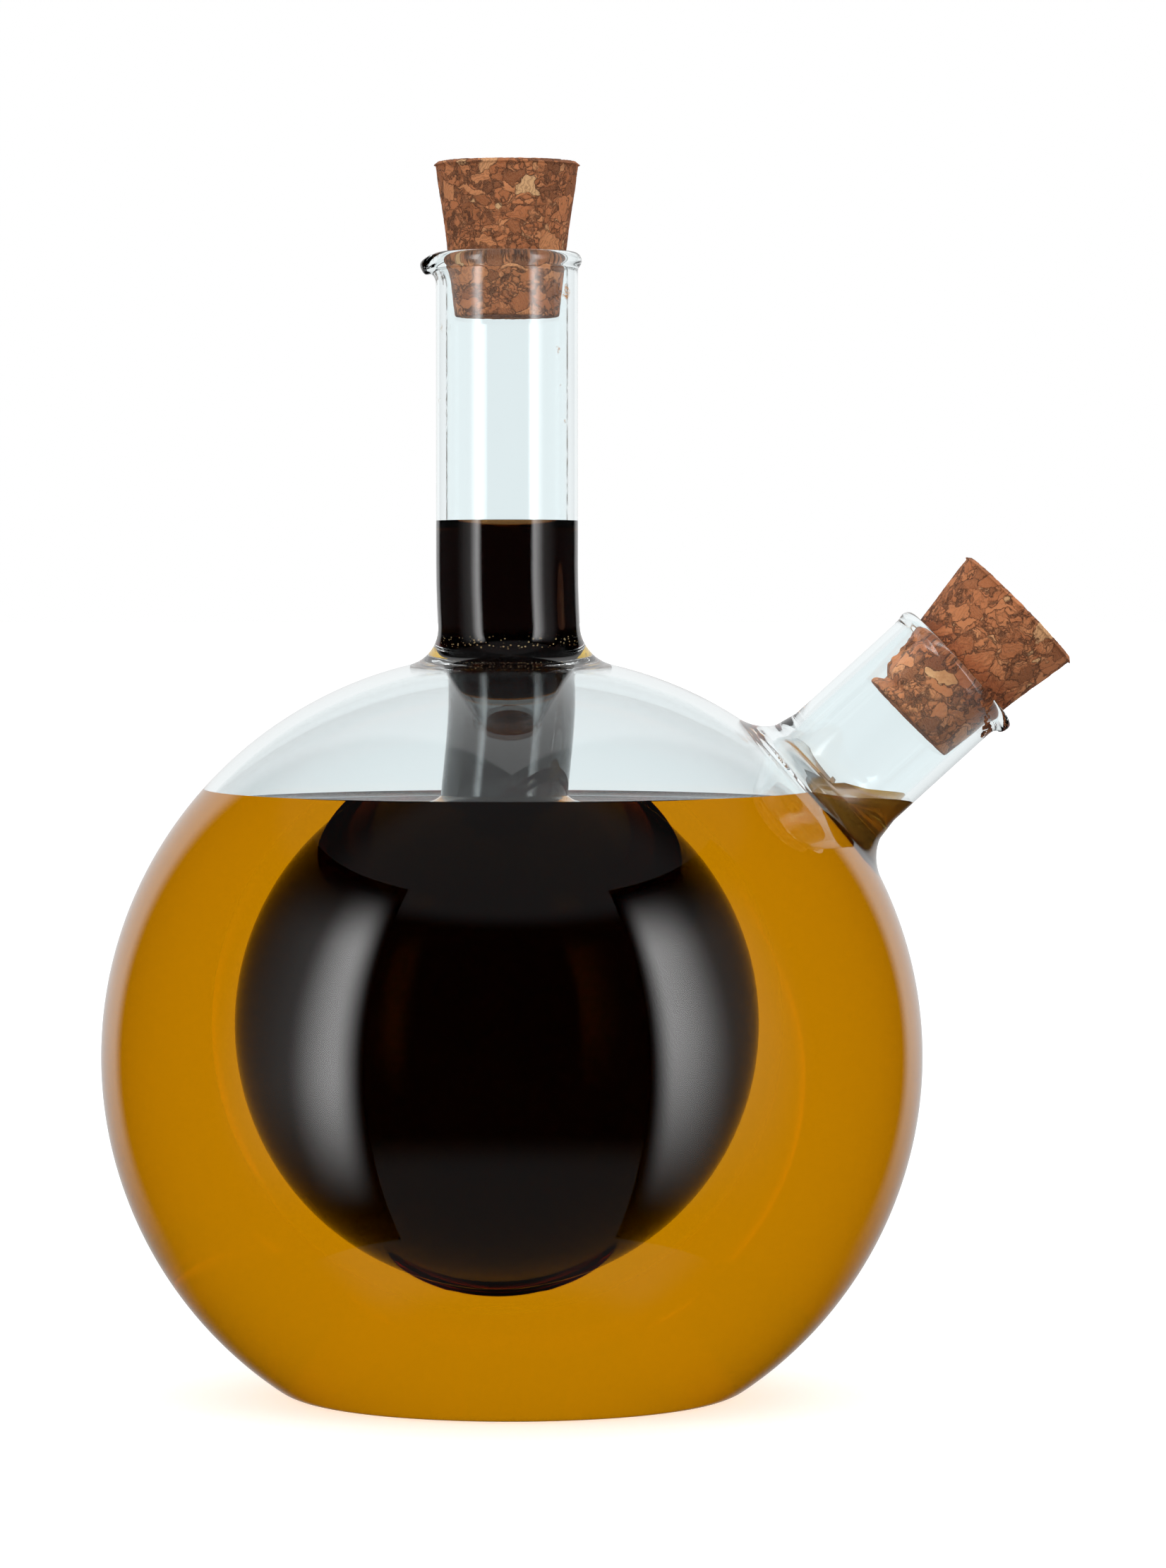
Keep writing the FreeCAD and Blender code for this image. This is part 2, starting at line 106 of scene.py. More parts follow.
# Columns round the neck's axis, and the patch of them that makes way for the spout.
COLUMNS = 164
OIL_COLUMNS, VINEGAR_COLUMNS = 192, 144
SHOULDER_ROWS, SEAL_ROWS, TUBE_ROWS = 14, 8, 8
PATCH_COLUMNS = 24
PATCH_ROWS = 24
PATCH_LOW, PATCH_HIGH = 24.5, 59.5
INSIDE_RADIUS = SIDE_RADIUS - GLOBE_WALL
CONTACT_TURN = np.degrees(np.arcsin((OIL_AT_GLOBE - SIDE_CENTRE[1]) / INSIDE_RADIUS))


def arc(centre, radius, start, end, steps):
    """The centre plus the radius times the cosine and sine of an even sweep, in degrees."""
    sweep = np.radians(np.linspace(start, end, steps + 1))
    return np.asarray(centre) + radius * np.column_stack((np.cos(sweep), np.sin(sweep)))


def line(start, end, steps):
    """The start plus even shares of the way to the end."""
    share = np.linspace(0.0, 1.0, steps + 1)[:, None]
    return (1 - share) * np.asarray(start, float) + share * np.asarray(end, float)


def chain(*runs):
    """Runs joined end to end, with each shared point kept once."""
    return np.concatenate([runs[0]] + [run[1:] for run in runs[1:]])


def soften(path, reach):
    """Each point moved to the mean of the path about it, weighed by a bell curve of the
    distance along the path, with both ends held."""
    steps = np.linalg.norm(np.diff(path, axis=0), axis=1)
    along = np.concatenate(([0.0], np.cumsum(steps)))
    share = np.gradient(along)
    weight = np.exp(-(((along[:, None] - along) / reach) ** 2)) * share
    mean = weight @ path / weight.sum(axis=1, keepdims=True)
    from_end = np.minimum(along, along[-1] - along)
    held = np.exp(-((from_end / reach) ** 2))[:, None]
    return held * path + (1 - held) * mean


def all_round(count):
    """Even angles of a full turn, in radians."""
    return np.arange(count) * 2 * np.pi / count


def upright(radius, turn, height):
    """Points round the upright axis: the radius times the cosine and sine of the angle."""
    return np.stack(np.broadcast_arrays(radius * np.cos(turn), radius * np.sin(turn), height),
                    axis=-1)


def whirl(path, columns):
    """A path of radius and height carried round the upright axis."""
    return upright(path[:, 0, None], all_round(columns), path[:, 1, None])


def step_up(value, low, high):
    """A smooth step from 0 at low to 1 at high."""
    share = np.clip((value - low) / (high - low), 0.0, 1.0)
    return share * share * (3 - 2 * share)


def lean_neck(points):
    """The neck as blown, a little aside from the globe's middle: the offset grows from the
    shoulder up as a smooth step."""
    moved = points.copy()
    moved[..., 0] -= NECK_ASIDE * step_up(points[..., 2], 97.0, 118.0)
    return moved


def hang(points):
    """Tube and bulb as blown, a little off the neck's axis: the offset grows from the ring
    seal down as a smooth step."""
    moved = lean_neck(points)
    moved[..., 0] -= BULB_ASIDE * (1 - step_up(points[..., 2], 78.0, 100.0))
    return moved


def across_spout(turn):
    """The way out from the spout's axis at angles round it from its lower side."""
    return np.cos(turn)[..., None] * SPOUT_DOWN + np.sin(turn)[..., None] * SIDEWAYS


def at_spout(radius, along, turn):
    """Points by distance from the spout's axis, distance along it and angle round it."""
    return (SPOUT_ROOT + along[..., None] * SPOUT_AXIS
            + radius[..., None] * across_spout(turn))


def from_spout(points):
    """Distance from the spout's axis, distance along it and angle round it of points."""
    offset = points - SPOUT_ROOT
    along = offset @ SPOUT_AXIS
    down, side = offset @ SPOUT_DOWN, offset @ SIDEWAYS
    return np.hypot(down, side), along, np.arctan2(side, down)


def past_globe(points, curve):
    """Distance outside a globe whose side has a radius of curve."""
    outward = np.hypot(points[..., 0], points[..., 1]) - SIDE_CENTRE[0]
    return np.hypot(outward, points[..., 2] - SIDE_CENTRE[1]) - curve


def past_both(points, curve, barrel, blend):
    """Distance outside a globe and the barrel that leaves it, joined by a rounded corner:
    the blend less the length of what each distance falls short of it."""
    radius, along, _ = from_spout(points)
    globe = past_globe(points, curve)
    tube = np.where(along > 20.0, radius - barrel, 2 * blend)
    short = np.hypot(np.maximum(blend - globe, 0), np.maximum(blend - tube, 0))
    return np.maximum(blend, np.minimum(globe, tube)) - short


def on_globe(away, turn, curve):
    """Points on a globe in the direction that is away from the spout's axis by one angle and
    round it by another: the far root of the circle of the globe's side."""
    way = np.cos(away)[..., None] * SPOUT_AXIS + np.sin(away)[..., None] * across_spout(turn)
    rise = SIDE_CENTRE[1] - SPOUT_ROOT[2]
    half = SIDE_CENTRE[0] * np.hypot(way[..., 0], way[..., 1]) + rise * way[..., 2]
    rest = SIDE_CENTRE[0] ** 2 + rise ** 2 - curve ** 2
    return SPOUT_ROOT + (half + np.sqrt(half ** 2 - rest))[..., None] * way


def pull_lip(radius, along, turn, rim, middle, bent, angle, spread):
    """The last stretch of a tube's wall bent outwards as a strip is: distance along the wall
    becomes an arc whose angle falls off to both sides as a bell curve, and distance across
    the wall stays square to it."""
    fall = np.maximum(np.radians(angle) * np.exp(-((turn / np.radians(spread)) ** 2)), 1e-4)
    step = along - (rim - bent)
    swing = fall * np.clip(step, 0, None) / bent
    across = radius - middle
    out = middle + bent / fall * (1 - np.cos(swing)) + across * np.cos(swing)
    up = rim - bent + bent / fall * np.sin(swing) - across * np.sin(swing)
    return np.where(step > 0, out, radius), np.where(step > 0, up, along)


def put(name, data):
    """An object of the scene, at the origin."""
    made = bpy.data.objects.new(name, data)
    bpy.context.scene.collection.objects.link(made)
    return made


class Surface:
    """Points and faces of one closed skin, gathered grid by grid."""

    def __init__(self):
        self.points, self.faces, self.sides, self.count, self.side = [], [], [], 0, 0

    def add(self, points):
        """Takes in an array of points and gives back their numbers in the same layout."""
        flat = points.reshape(-1, 3)
        numbers = self.count + np.arange(len(flat)).reshape(points.shape[:-1])
        self.points.append(flat)
        self.count += len(flat)
        return numbers

    def quads(self, numbers, keep=None, flip=False):
        """Faces between neighbouring rows and columns, the last column joined to the first."""
        numbers = np.concatenate((numbers, numbers[:, :1]), axis=1)
        low, high = numbers[:-1], numbers[1:]
        faces = np.stack((low[:, :-1], low[:, 1:], high[:, 1:], high[:, :-1]), axis=2)
        faces = faces[keep] if keep is not None else faces.reshape(-1, 4)
        self.take(faces, flip)

    def fan(self, ring, pole, flip=False):
        """Faces from a ring to one new point, drawn as quads with a doubled corner."""
        centre = np.full_like(ring, self.add(pole)[0])
        self.take(np.stack((ring, np.roll(ring, -1), centre, centre), axis=1), flip)

    def take(self, faces, flip):
        """Keeps faces with the side of the skin that they are on."""
        self.faces.append(faces[:, ::-1] if flip else faces)
        self.sides.append(np.full(len(faces), self.side))

    def mesh(self, name):
        """A Blender object in metres, at the origin, with every face smooth."""
        points = np.concatenate(self.points) * MM
        faces = [tuple(dict.fromkeys(face)) for face in np.concatenate(self.faces).tolist()]
        made = bpy.data.meshes.new(name)
        made.from_pydata(points.tolist(), [], faces, shade_flat=False)
        sides = np.concatenate(self.sides).astype(np.int32)
        made.polygons.foreach_set("material_index", sides)
        return put(name, made)


def patch(rows_before):
    """The rows, columns and faces of the opening that a grid leaves for the spout: the loop
    of its edge, from the middle of its low side and round by way of +Y."""
    half = PATCH_COLUMNS // 2
    low, high = rows_before, rows_before + PATCH_ROWS
    rows = np.concatenate((np.full(half, low), np.arange(low, high), np.full(2 * half, high),
                           np.arange(high, low, -1), np.full(half, low)))
    columns = np.concatenate((np.arange(half), np.full(high - low, half),
                              np.arange(half, -half, -1), np.full(high - low, -half),
                              np.arange(-half, 0)))
    return rows, columns % COLUMNS


def faces_kept(rows, rows_before):
    """Which faces of a grid stay beside the opening."""
    keep = np.ones((rows - 1, COLUMNS), bool)
    half = PATCH_COLUMNS // 2
    columns = np.arange(-half, half) % COLUMNS
    keep[rows_before:rows_before + PATCH_ROWS, columns] = False
    return keep


def heel_and_side(curve, heel, foot, steps):
    """The rounded heel over a foot's height and a globe's side up to the spout's opening."""
    out = np.sqrt((curve - heel) ** 2 - (SIDE_CENTRE[1] - foot - heel) ** 2)
    turn = np.degrees(np.arctan2(foot + heel - SIDE_CENTRE[1], out))
    middle = (SIDE_CENTRE[0] + out, foot + heel)
    return chain(arc(middle, heel, -90.0, turn, steps),
                 arc(SIDE_CENTRE, curve, turn, PATCH_LOW, 56))


def rounding(curve, out, centre=SIDE_CENTRE):
    """The middle of a rounding at a distance from the axis and another from a globe's or a
    bulb's centre, and the angle about that centre at which it lies."""
    across = out - centre[0]
    up = np.sqrt(curve ** 2 - across ** 2)
    return (out, centre[1] + up), np.degrees(np.arctan2(up, across))


def beaded_rim(outside, bore, top, bead_out, start, steps):
    """A softened rim: up the outside, from a start round the bead, and down the bore."""
    middle = (outside + bead_out - BEAD, top - BEAD)
    ease, under = middle[0] - bore, top - RIM_STRETCH
    rim = chain(line((outside, under), (outside, middle[1] - start[0]), steps[0]),
                arc(middle, BEAD, start[1], 90.0, steps[1]),
                arc((middle[0], top - ease), ease, 90.0, 180.0, steps[2]),
                line((bore, top - ease), (bore, under), steps[3]))
    return soften(rim, RIM_SOFT)


def outer_path():
    """Radius and height along the outside of foot, globe and neck, over the rim, and down
    the bore, tube and bulb, with the number of the first row of the spout's opening."""
    flare_at, flare_turn = rounding(SIDE_RADIUS + NECK_FLARE, NECK_OUTSIDE + NECK_FLARE)
    side = heel_and_side(SIDE_RADIUS, HEEL, 0.0, 8)
    foot = side[0, 0]
    base = line((0.0, 0.0), (foot, 0.0), 14)
    base[:, 1] += FOOT_HOLLOW * np.clip(1 - (base[:, 0] / (foot - 3.0)) ** 2, 0, None) ** 2
    below = chain(base, side)
    flank = chain(arc(SIDE_CENTRE, SIDE_RADIUS, PATCH_LOW, PATCH_HIGH, PATCH_ROWS),
                  arc(SIDE_CENTRE, SIDE_RADIUS, PATCH_HIGH, flare_turn, 12),
                  arc(flare_at, NECK_FLARE, 180.0 + flare_turn, 180.0, 12))
    rim = beaded_rim(NECK_OUTSIDE, NECK_BORE, NECK_RIM, 0.55, (1.04, -56.0), (12, 14, 6, 10))
    under = NECK_RIM - RIM_STRETCH
    neck = chain(line((NECK_OUTSIDE, flare_at[1]), (NECK_OUTSIDE, under), 16), rim,
                 line((NECK_BORE, under), (NECK_BORE, VINEGAR_AT_NECK), 10),
                 line((NECK_BORE, VINEGAR_AT_NECK), (NECK_BORE, SEAL_HEIGHT + SEAL_TAPER), 6))
    shoulder = BULB_SHOULDER + TUBE_OUTSIDE - TUBE_BORE
    turn_at, ball_turn = rounding(BULB_BORE + shoulder, TUBE_BORE + shoulder, BULB_CENTRE)
    taper = soften(chain(line((NECK_BORE, SEAL_HEIGHT + SEAL_TAPER), (TUBE_BORE, SEAL_HEIGHT), 8),
                         line((TUBE_BORE, SEAL_HEIGHT), (TUBE_BORE, SEAL_HEIGHT - 4.0), 6)), 1.2)
    tube = chain(taper, line((TUBE_BORE, SEAL_HEIGHT - 4.0), (TUBE_BORE, turn_at[1]), 6),
                 arc(turn_at, shoulder, 180.0, 180.0 + ball_turn, 10),
                 arc(BULB_CENTRE, BULB_BORE, ball_turn, -72.0, 60))
    out = BULB_BORE * np.cos(np.radians(72.0))
    radius = np.linspace(out, 0.0, 26)
    ball = BULB_HEIGHT - np.sqrt(BULB_BORE ** 2 - radius ** 2)
    crown = BULB_HEIGHT - BULB_BORE + CROWN_RISE
    dome = crown - CROWN_ROUND + np.sqrt(np.maximum(CROWN_ROUND ** 2 - radius ** 2, 0.0))
    end = soften(np.column_stack((radius, np.maximum(ball, dome))), 0.7)
    return chain(below, flank, neck, tube, end), len(below) - 1


def inner_path():
    """Radius and height along the globe's inside from the foot to the ring seal, and down
    the outside of tube and bulb, with the number of the first row of the spout's opening."""
    seal_at, seal_turn = rounding(INSIDE_RADIUS - SEAL_ROUND, TUBE_OUTSIDE + SEAL_ROUND)
    turn_at, ball_turn = rounding(BULB_OUTSIDE + BULB_SHOULDER, TUBE_OUTSIDE + BULB_SHOULDER,
                                  BULB_CENTRE)
    half = PATCH_ROWS // 2
    side = heel_and_side(INSIDE_RADIUS, HEEL - FOOT_WALL, FOOT_WALL, 7)
    below = chain(line((0.0, FOOT_WALL), (side[0, 0], FOOT_WALL), 14), side)
    flank = chain(arc(SIDE_CENTRE, INSIDE_RADIUS, PATCH_LOW, CONTACT_TURN, half),
                  arc(SIDE_CENTRE, INSIDE_RADIUS, CONTACT_TURN, PATCH_HIGH, PATCH_ROWS - half),
                  arc(SIDE_CENTRE, INSIDE_RADIUS, PATCH_HIGH, seal_turn, SHOULDER_ROWS),
                  arc(seal_at, SEAL_ROUND, seal_turn, 180.0, SEAL_ROWS))
    tube = chain(line((TUBE_OUTSIDE, seal_at[1]), (TUBE_OUTSIDE, OIL_AT_TUBE), TUBE_ROWS),
                 line((TUBE_OUTSIDE, OIL_AT_TUBE), (TUBE_OUTSIDE, turn_at[1]), 4),
                 arc(turn_at, BULB_SHOULDER, 180.0, 180.0 + ball_turn, 10),
                 arc(BULB_CENTRE, BULB_OUTSIDE, ball_turn, -78.0, 64))
    radius = np.linspace(BULB_OUTSIDE * np.cos(np.radians(78.0)), 0.0, 20)
    ball = BULB_HEIGHT - np.sqrt(BULB_OUTSIDE ** 2 - radius ** 2)
    nub = (BULB_HEIGHT - BULB_OUTSIDE - NUB_DROP + NUB_ROUND
           - np.sqrt(np.maximum(NUB_ROUND ** 2 - radius ** 2, 0.0)))
    lowest = np.where(radius < NUB_ROUND, np.minimum(ball, nub), ball)
    end = soften(np.column_stack((radius, lowest)), 0.5)
    return chain(below, flank, tube, end), len(below) - 1


def spout_rings(outer_edge, inner_edge):
    """Rings round the spout's axis, from the edge of the globe's opening over flare, barrel,
    rim and bore to the edge of the opening in the globe's inside."""
    even = all_round(len(outer_edge))
    flare_out, bore_out = SPOUT_OUTSIDE + SPOUT_FLARE, SPOUT_BORE + BORE_FLARE
    flare_up = np.sqrt((MEAN_GLOBE + SPOUT_FLARE) ** 2 - flare_out ** 2)
    bore_up = np.sqrt((MEAN_GLOBE - GLOBE_WALL + BORE_FLARE) ** 2 - bore_out ** 2)
    flare_turn = np.degrees(np.arctan2(flare_up, flare_out))
    bore_turn = np.degrees(np.arctan2(bore_up, bore_out))

    def spread(edge, away, curve, share):
        """Rings on a globe between an edge and a circle at one angle from the axis."""
        radius, along, turn = from_spout(edge)
        turn = np.unwrap(turn)
        turn = even + (turn - even - np.round((turn - even) / (2 * np.pi)) * 2 * np.pi)
        share = share[:, None]
        return on_globe((1 - share) * np.arctan2(radius, along) + share * away,
                        (1 - share) * turn + share * even, curve)

    start = np.radians(90.0 - flare_turn)
    finish = np.radians(90.0 - bore_turn)
    outside = spread(outer_edge, start, SIDE_RADIUS, np.linspace(0, 1, 7)[1:-1])
    returned = spread(inner_edge, finish, INSIDE_RADIUS, np.linspace(1, 0, 7)[1:-1])
    flare = arc((flare_out, flare_up), SPOUT_FLARE, 180.0 + flare_turn, 180.0, 9)
    into = arc((bore_out, bore_up), BORE_FLARE, 180.0, 180.0 + bore_turn, 9)
    rim = beaded_rim(SPOUT_OUTSIDE, SPOUT_BORE, SPOUT_RIM, 0.25, (0.75, -37.0), (20, 12, 5, 18))
    under = SPOUT_RIM - RIM_STRETCH
    barrel = chain(line((SPOUT_OUTSIDE, flare_up), (SPOUT_OUTSIDE, under), 6), rim,
                   line((SPOUT_BORE, under), (SPOUT_BORE, bore_up), 12))

    def ringed(path):
        """A path of radius and distance along carried round the spout's axis."""
        radius, along = path[:, 0, None] + 0 * even, path[:, 1, None] + 0 * even
        return at_spout(radius, along, even + 0 * radius)

    def settled(path, centre, curve, tube, blend):
        """A rounded corner's rings moved along its own normals until they lie on the joined
        skin of globe and barrel."""
        points = ringed(path)
        normals = ringed(path) - ringed(np.zeros_like(path) + centre)
        normals /= np.linalg.norm(normals, axis=2, keepdims=True)
        for _ in range(8):
            points = points + past_both(points, curve, tube, blend)[..., None] * normals
        return points

    flare = settled(flare, (flare_out, flare_up), SIDE_RADIUS, SPOUT_OUTSIDE, SPOUT_FLARE)
    into = settled(into, (bore_out, bore_up), INSIDE_RADIUS, SPOUT_BORE, BORE_FLARE)
    turn = (even + np.pi) % (2 * np.pi) - np.pi
    radius, along = pull_lip(barrel[1:-1, 0, None], barrel[1:-1, 1, None], turn, SPOUT_RIM,
                             *SPOUT_LIP)
    middle = at_spout(radius, along, even + 0 * radius)
    rows = np.concatenate((outside, flare, middle, into, returned))
    return rows, len(outside) + len(flare) + int(np.argmax(barrel[1:-1, 1]))


def make_glass():
    """The whole vessel as one closed skin: outside and vinegar side in one sweep, oil side in
    another, and the spout's rings between the openings of both."""
    skin = Surface()
    path, first = outer_path()
    grid = whirl(path, COLUMNS)
    turn = np.arctan2(grid[..., 1], grid[..., 0])
    turn = (turn + 2 * np.pi) % (2 * np.pi) - np.pi
    near = path[:, 1] > NECK_RIM - 5.0
    turned = turn[near]
    radius, height = pull_lip(path[near, 0, None], path[near, 1, None], turned, NECK_RIM,
                              *NECK_LIP)
    grid[near] = upright(-radius, turned, height)
    rows, columns = patch(first)
    mouth = int(np.argmax(path[:, 1]))
    grid[:mouth] = lean_neck(grid[:mouth])
    grid[mouth:] = hang(grid[mouth:])
    rings = skin.add(grid[1:-1])
    skin.quads(rings[:mouth], faces_kept(mouth + 1, first)[1:])
    skin.fan(rings[0], grid[:1, 0], True)
    skin.side = 2
    skin.quads(rings[mouth - 1:])
    skin.fan(rings[-1], grid[-1:, 0])
    outer_edge = rings[rows - 1, columns]
    outer_points = grid[rows, columns]

    path, first = inner_path()
    grid = whirl(path, COLUMNS)
    tube = first + PATCH_ROWS + SHOULDER_ROWS + SEAL_ROWS
    grid[:tube] = lean_neck(grid[:tube])
    grid[tube:] = hang(grid[tube:])
    rows, columns = patch(first)
    rings = skin.add(grid[1:-1])
    skin.side = 1
    skin.quads(rings, faces_kept(len(path), first)[1:-1], flip=True)
    skin.fan(rings[0], grid[:1, 0])
    skin.fan(rings[-1], grid[-1:, 0], True)
    inner_edge = rings[rows - 1, columns]
    inner_points = grid[rows, columns]

    spout, mouth = spout_rings(outer_points, inner_points)
    spout = np.concatenate((outer_edge[None], skin.add(spout), inner_edge[None]))
    skin.side = 0
    skin.quads(spout[:mouth + 2])
    skin.side = 1
    skin.quads(spout[mouth + 1:])
    piece = skin.mesh("glass")
    part_at_contact(piece)
    return piece


def part_at_contact(piece):
    """Splits the faces of the vessel's oil side along the height where the oil meets it, and
    tells dry glass from glass that is wet with oil or with vinegar."""
    work = bmesh.new()
    work.from_mesh(piece.data)
    level, near_tube = OIL_AT_GLOBE * MM, 2 * TUBE_OUTSIDE * MM
    crossed = [face for face in work.faces if face.material_index == 1
               and min(corner.co.z for corner in face.verts) < level
               and max(corner.co.z for corner in face.verts) > level
               and face.calc_center_median().xy.length > near_tube]
    around = list({edge for face in crossed for edge in face.edges})
    corners = list({vertex for face in crossed for vertex in face.verts})
    bmesh.ops.bisect_plane(work, geom=crossed + around + corners, dist=1e-7,
                           plane_co=(0, 0, level), plane_no=(0, 0, 1))
    for face in work.faces:
        centre = face.calc_center_median()
        oil_top = OIL_AT_TUBE if centre.xy.length < near_tube else OIL_AT_GLOBE
        top = (0, oil_top, VINEGAR_AT_NECK)[face.material_index] * MM
        if centre.z > top:
            face.material_index = 0
    work.to_mesh(piece.data)
    work.free()


def bore_reach(height, turn):
    """How far the oil's room reaches from the neck's axis at a height and an angle round it:
    the point where the joined skin of globe and bore is crossed, found by halving."""
    near, far = np.full(height.shape, 30.0), np.full(height.shape, 62.0)
    for _ in range(40):
        middle = (near + far) / 2
        points = upright(middle, turn, height)
        within = past_both(points, INSIDE_RADIUS, SPOUT_BORE, BORE_FLARE) < 0
        near, far = np.where(within, middle, near), np.where(within, far, middle)
    return near


def beside_bulb(path):
    """A path along tube and bulb moved a hair inwards, and a hair up under the bulb."""
    under = np.clip((BULB_HEIGHT - 18.0 - path[:, 1]) / 8.0, 0.0, 1.0)
    return path + HAIR * np.column_stack((-1.0 * (path[:, 0] > 1), under))


def make_oil():
    """The oil: its outside follows the globe's inside and the start of the spout's bore, its
    top climbs both walls as the exponential of the distance from each, and its inside follows
    tube and bulb. Columns gather towards the spout as a sine takes them."""
    even = all_round(OIL_COLUMNS)
    turn = even - 0.55 * np.sin(even)
    path, first = inner_path()
    contact = first + PATCH_ROWS // 2
    tube = first + PATCH_ROWS + SHOULDER_ROWS + SEAL_ROWS + TUBE_ROWS
    # Both sides and the bottom reach a hair into the glass.
    low, inside = path[:contact + 1], beside_bulb(path[tube:])
    under = np.clip((FOOT_WALL + 6.0 - low[:, 1]) / 6.0, 0.0, 1.0)
    low = low + HAIR * np.column_stack((low[:, 0] > 1, -under))
    height = low[1:, 1, None] + 0 * turn
    radius = low[1:, 0, None] + 0 * turn
    near = low[1:, 1] > 70.0
    angle = np.broadcast_to(turn, radius.shape)
    radius[near] = bore_reach(height[near], angle[near]) + HAIR
    edge = radius[-1]
    share = 0.5 - 0.5 * np.cos(np.pi * np.linspace(0, 1, 41)[1:-1, None])
    across = (1 - share) * edge + share * (TUBE_OUTSIDE - HAIR)
    climb = ((OIL_AT_GLOBE - OIL_LEVEL) * np.exp((across - edge) / 1.9)
             + (OIL_AT_TUBE - OIL_LEVEL) * np.exp((TUBE_OUTSIDE - across) / 1.1))
    inner = inside[:-1, 0, None] + 0 * turn
    radius = np.concatenate((radius, across, inner))
    height = np.concatenate((height, OIL_LEVEL + climb, inside[:-1, 1, None] + 0 * turn))
    rim, root = len(low) - 2, len(low) - 1 + len(across)
    grid = upright(radius, turn, height)
    aside = hang(grid)[root:] - grid[root:]
    grid[root:] += aside
    grid[rim + 1:root] += share[..., None] * aside[0]
    skin = Surface()
    rings = skin.add(grid)
    skin.quads(rings[:rim + 1])
    skin.fan(rings[0], np.array([[0.0, 0.0, low[0, 1]]]), True)
    skin.side = 2
    skin.quads(rings[root:])
    skin.fan(rings[-1], hang(np.array([[0.0, 0.0, inside[-1, 1]]])))
    skin.side = 1
    skin.quads(rings[rim:root + 1])
    return skin.mesh("oil")


def make_vinegar():
    """The vinegar: the inside of bulb, tube and neck up to its level, with a top that climbs
    the neck's bore as the hyperbolic cosine of the distance from the axis."""
    path, _ = outer_path()
    at_level = np.abs(path[:, 1] - VINEGAR_AT_NECK) < 1e-6
    start = np.flatnonzero(at_level & (path[:, 0] < NECK_OUTSIDE - 1.0))[0]
    # The wall stays a hair inside the glass, which mirrors at a slant before it is reached.
    wall = beside_bulb(path[start:])
    radius = np.sin(np.linspace(0, np.pi / 2, 30))[:, None] * wall[0, 0]
    top = VINEGAR_LEVEL + 1.6 * np.cosh(radius / 0.9) / np.cosh(wall[0, 0] / 0.9)
    path = np.concatenate((np.column_stack((radius, top))[:-1], wall))
    grid = hang(whirl(path, VINEGAR_COLUMNS))
    skin = Surface()
    rings = skin.add(grid[1:-1])
    rim = len(radius) - 2
    skin.quads(rings[rim:], flip=True)
    skin.fan(rings[-1], grid[-1:, 0], True)
    skin.side = 1
    skin.quads(rings[:rim + 1], flip=True)
    skin.fan(rings[0], grid[:1, 0])
    return skin.mesh("vinegar")


# Finishes. Places in them are in millimetres.


def worked(operation, swapped=False):
    """A method that makes a Math node of a value and another, or of the two swapped."""
    def made(self, other):
        return self.math(operation, *((other, self) if swapped else (self, other)))
    return made


class Value:
    """A shader socket. Sums, products, the smaller, the larger and the like of it with
    numbers or other values make Math nodes."""

    def __init__(self, finish, socket):
        self.finish, self.socket = finish, socket

    def math(self, operation, *given):
        """A Math node of values and numbers, in order."""
        return self.finish.node("ShaderNodeMath", {"operation": operation}, dict(enumerate(given)))

    __add__ = __radd__ = worked("ADD")
    __sub__, __rsub__ = worked("SUBTRACT"), worked("SUBTRACT", True)
    __mul__ = __rmul__ = worked("MULTIPLY")
    __truediv__, __pow__ = worked("DIVIDE"), worked("POWER")
    least, most = worked("MINIMUM"), worked("MAXIMUM")

    def between(self, low, high):
        """How far this is from low to high, from 0 to 1, as a smooth step."""
        return self.finish.node("ShaderNodeMapRange", {"interpolation_type": "SMOOTHSTEP"},
                                {0: self, 1: low, 2: high, 3: 0.0, 4: 1.0})


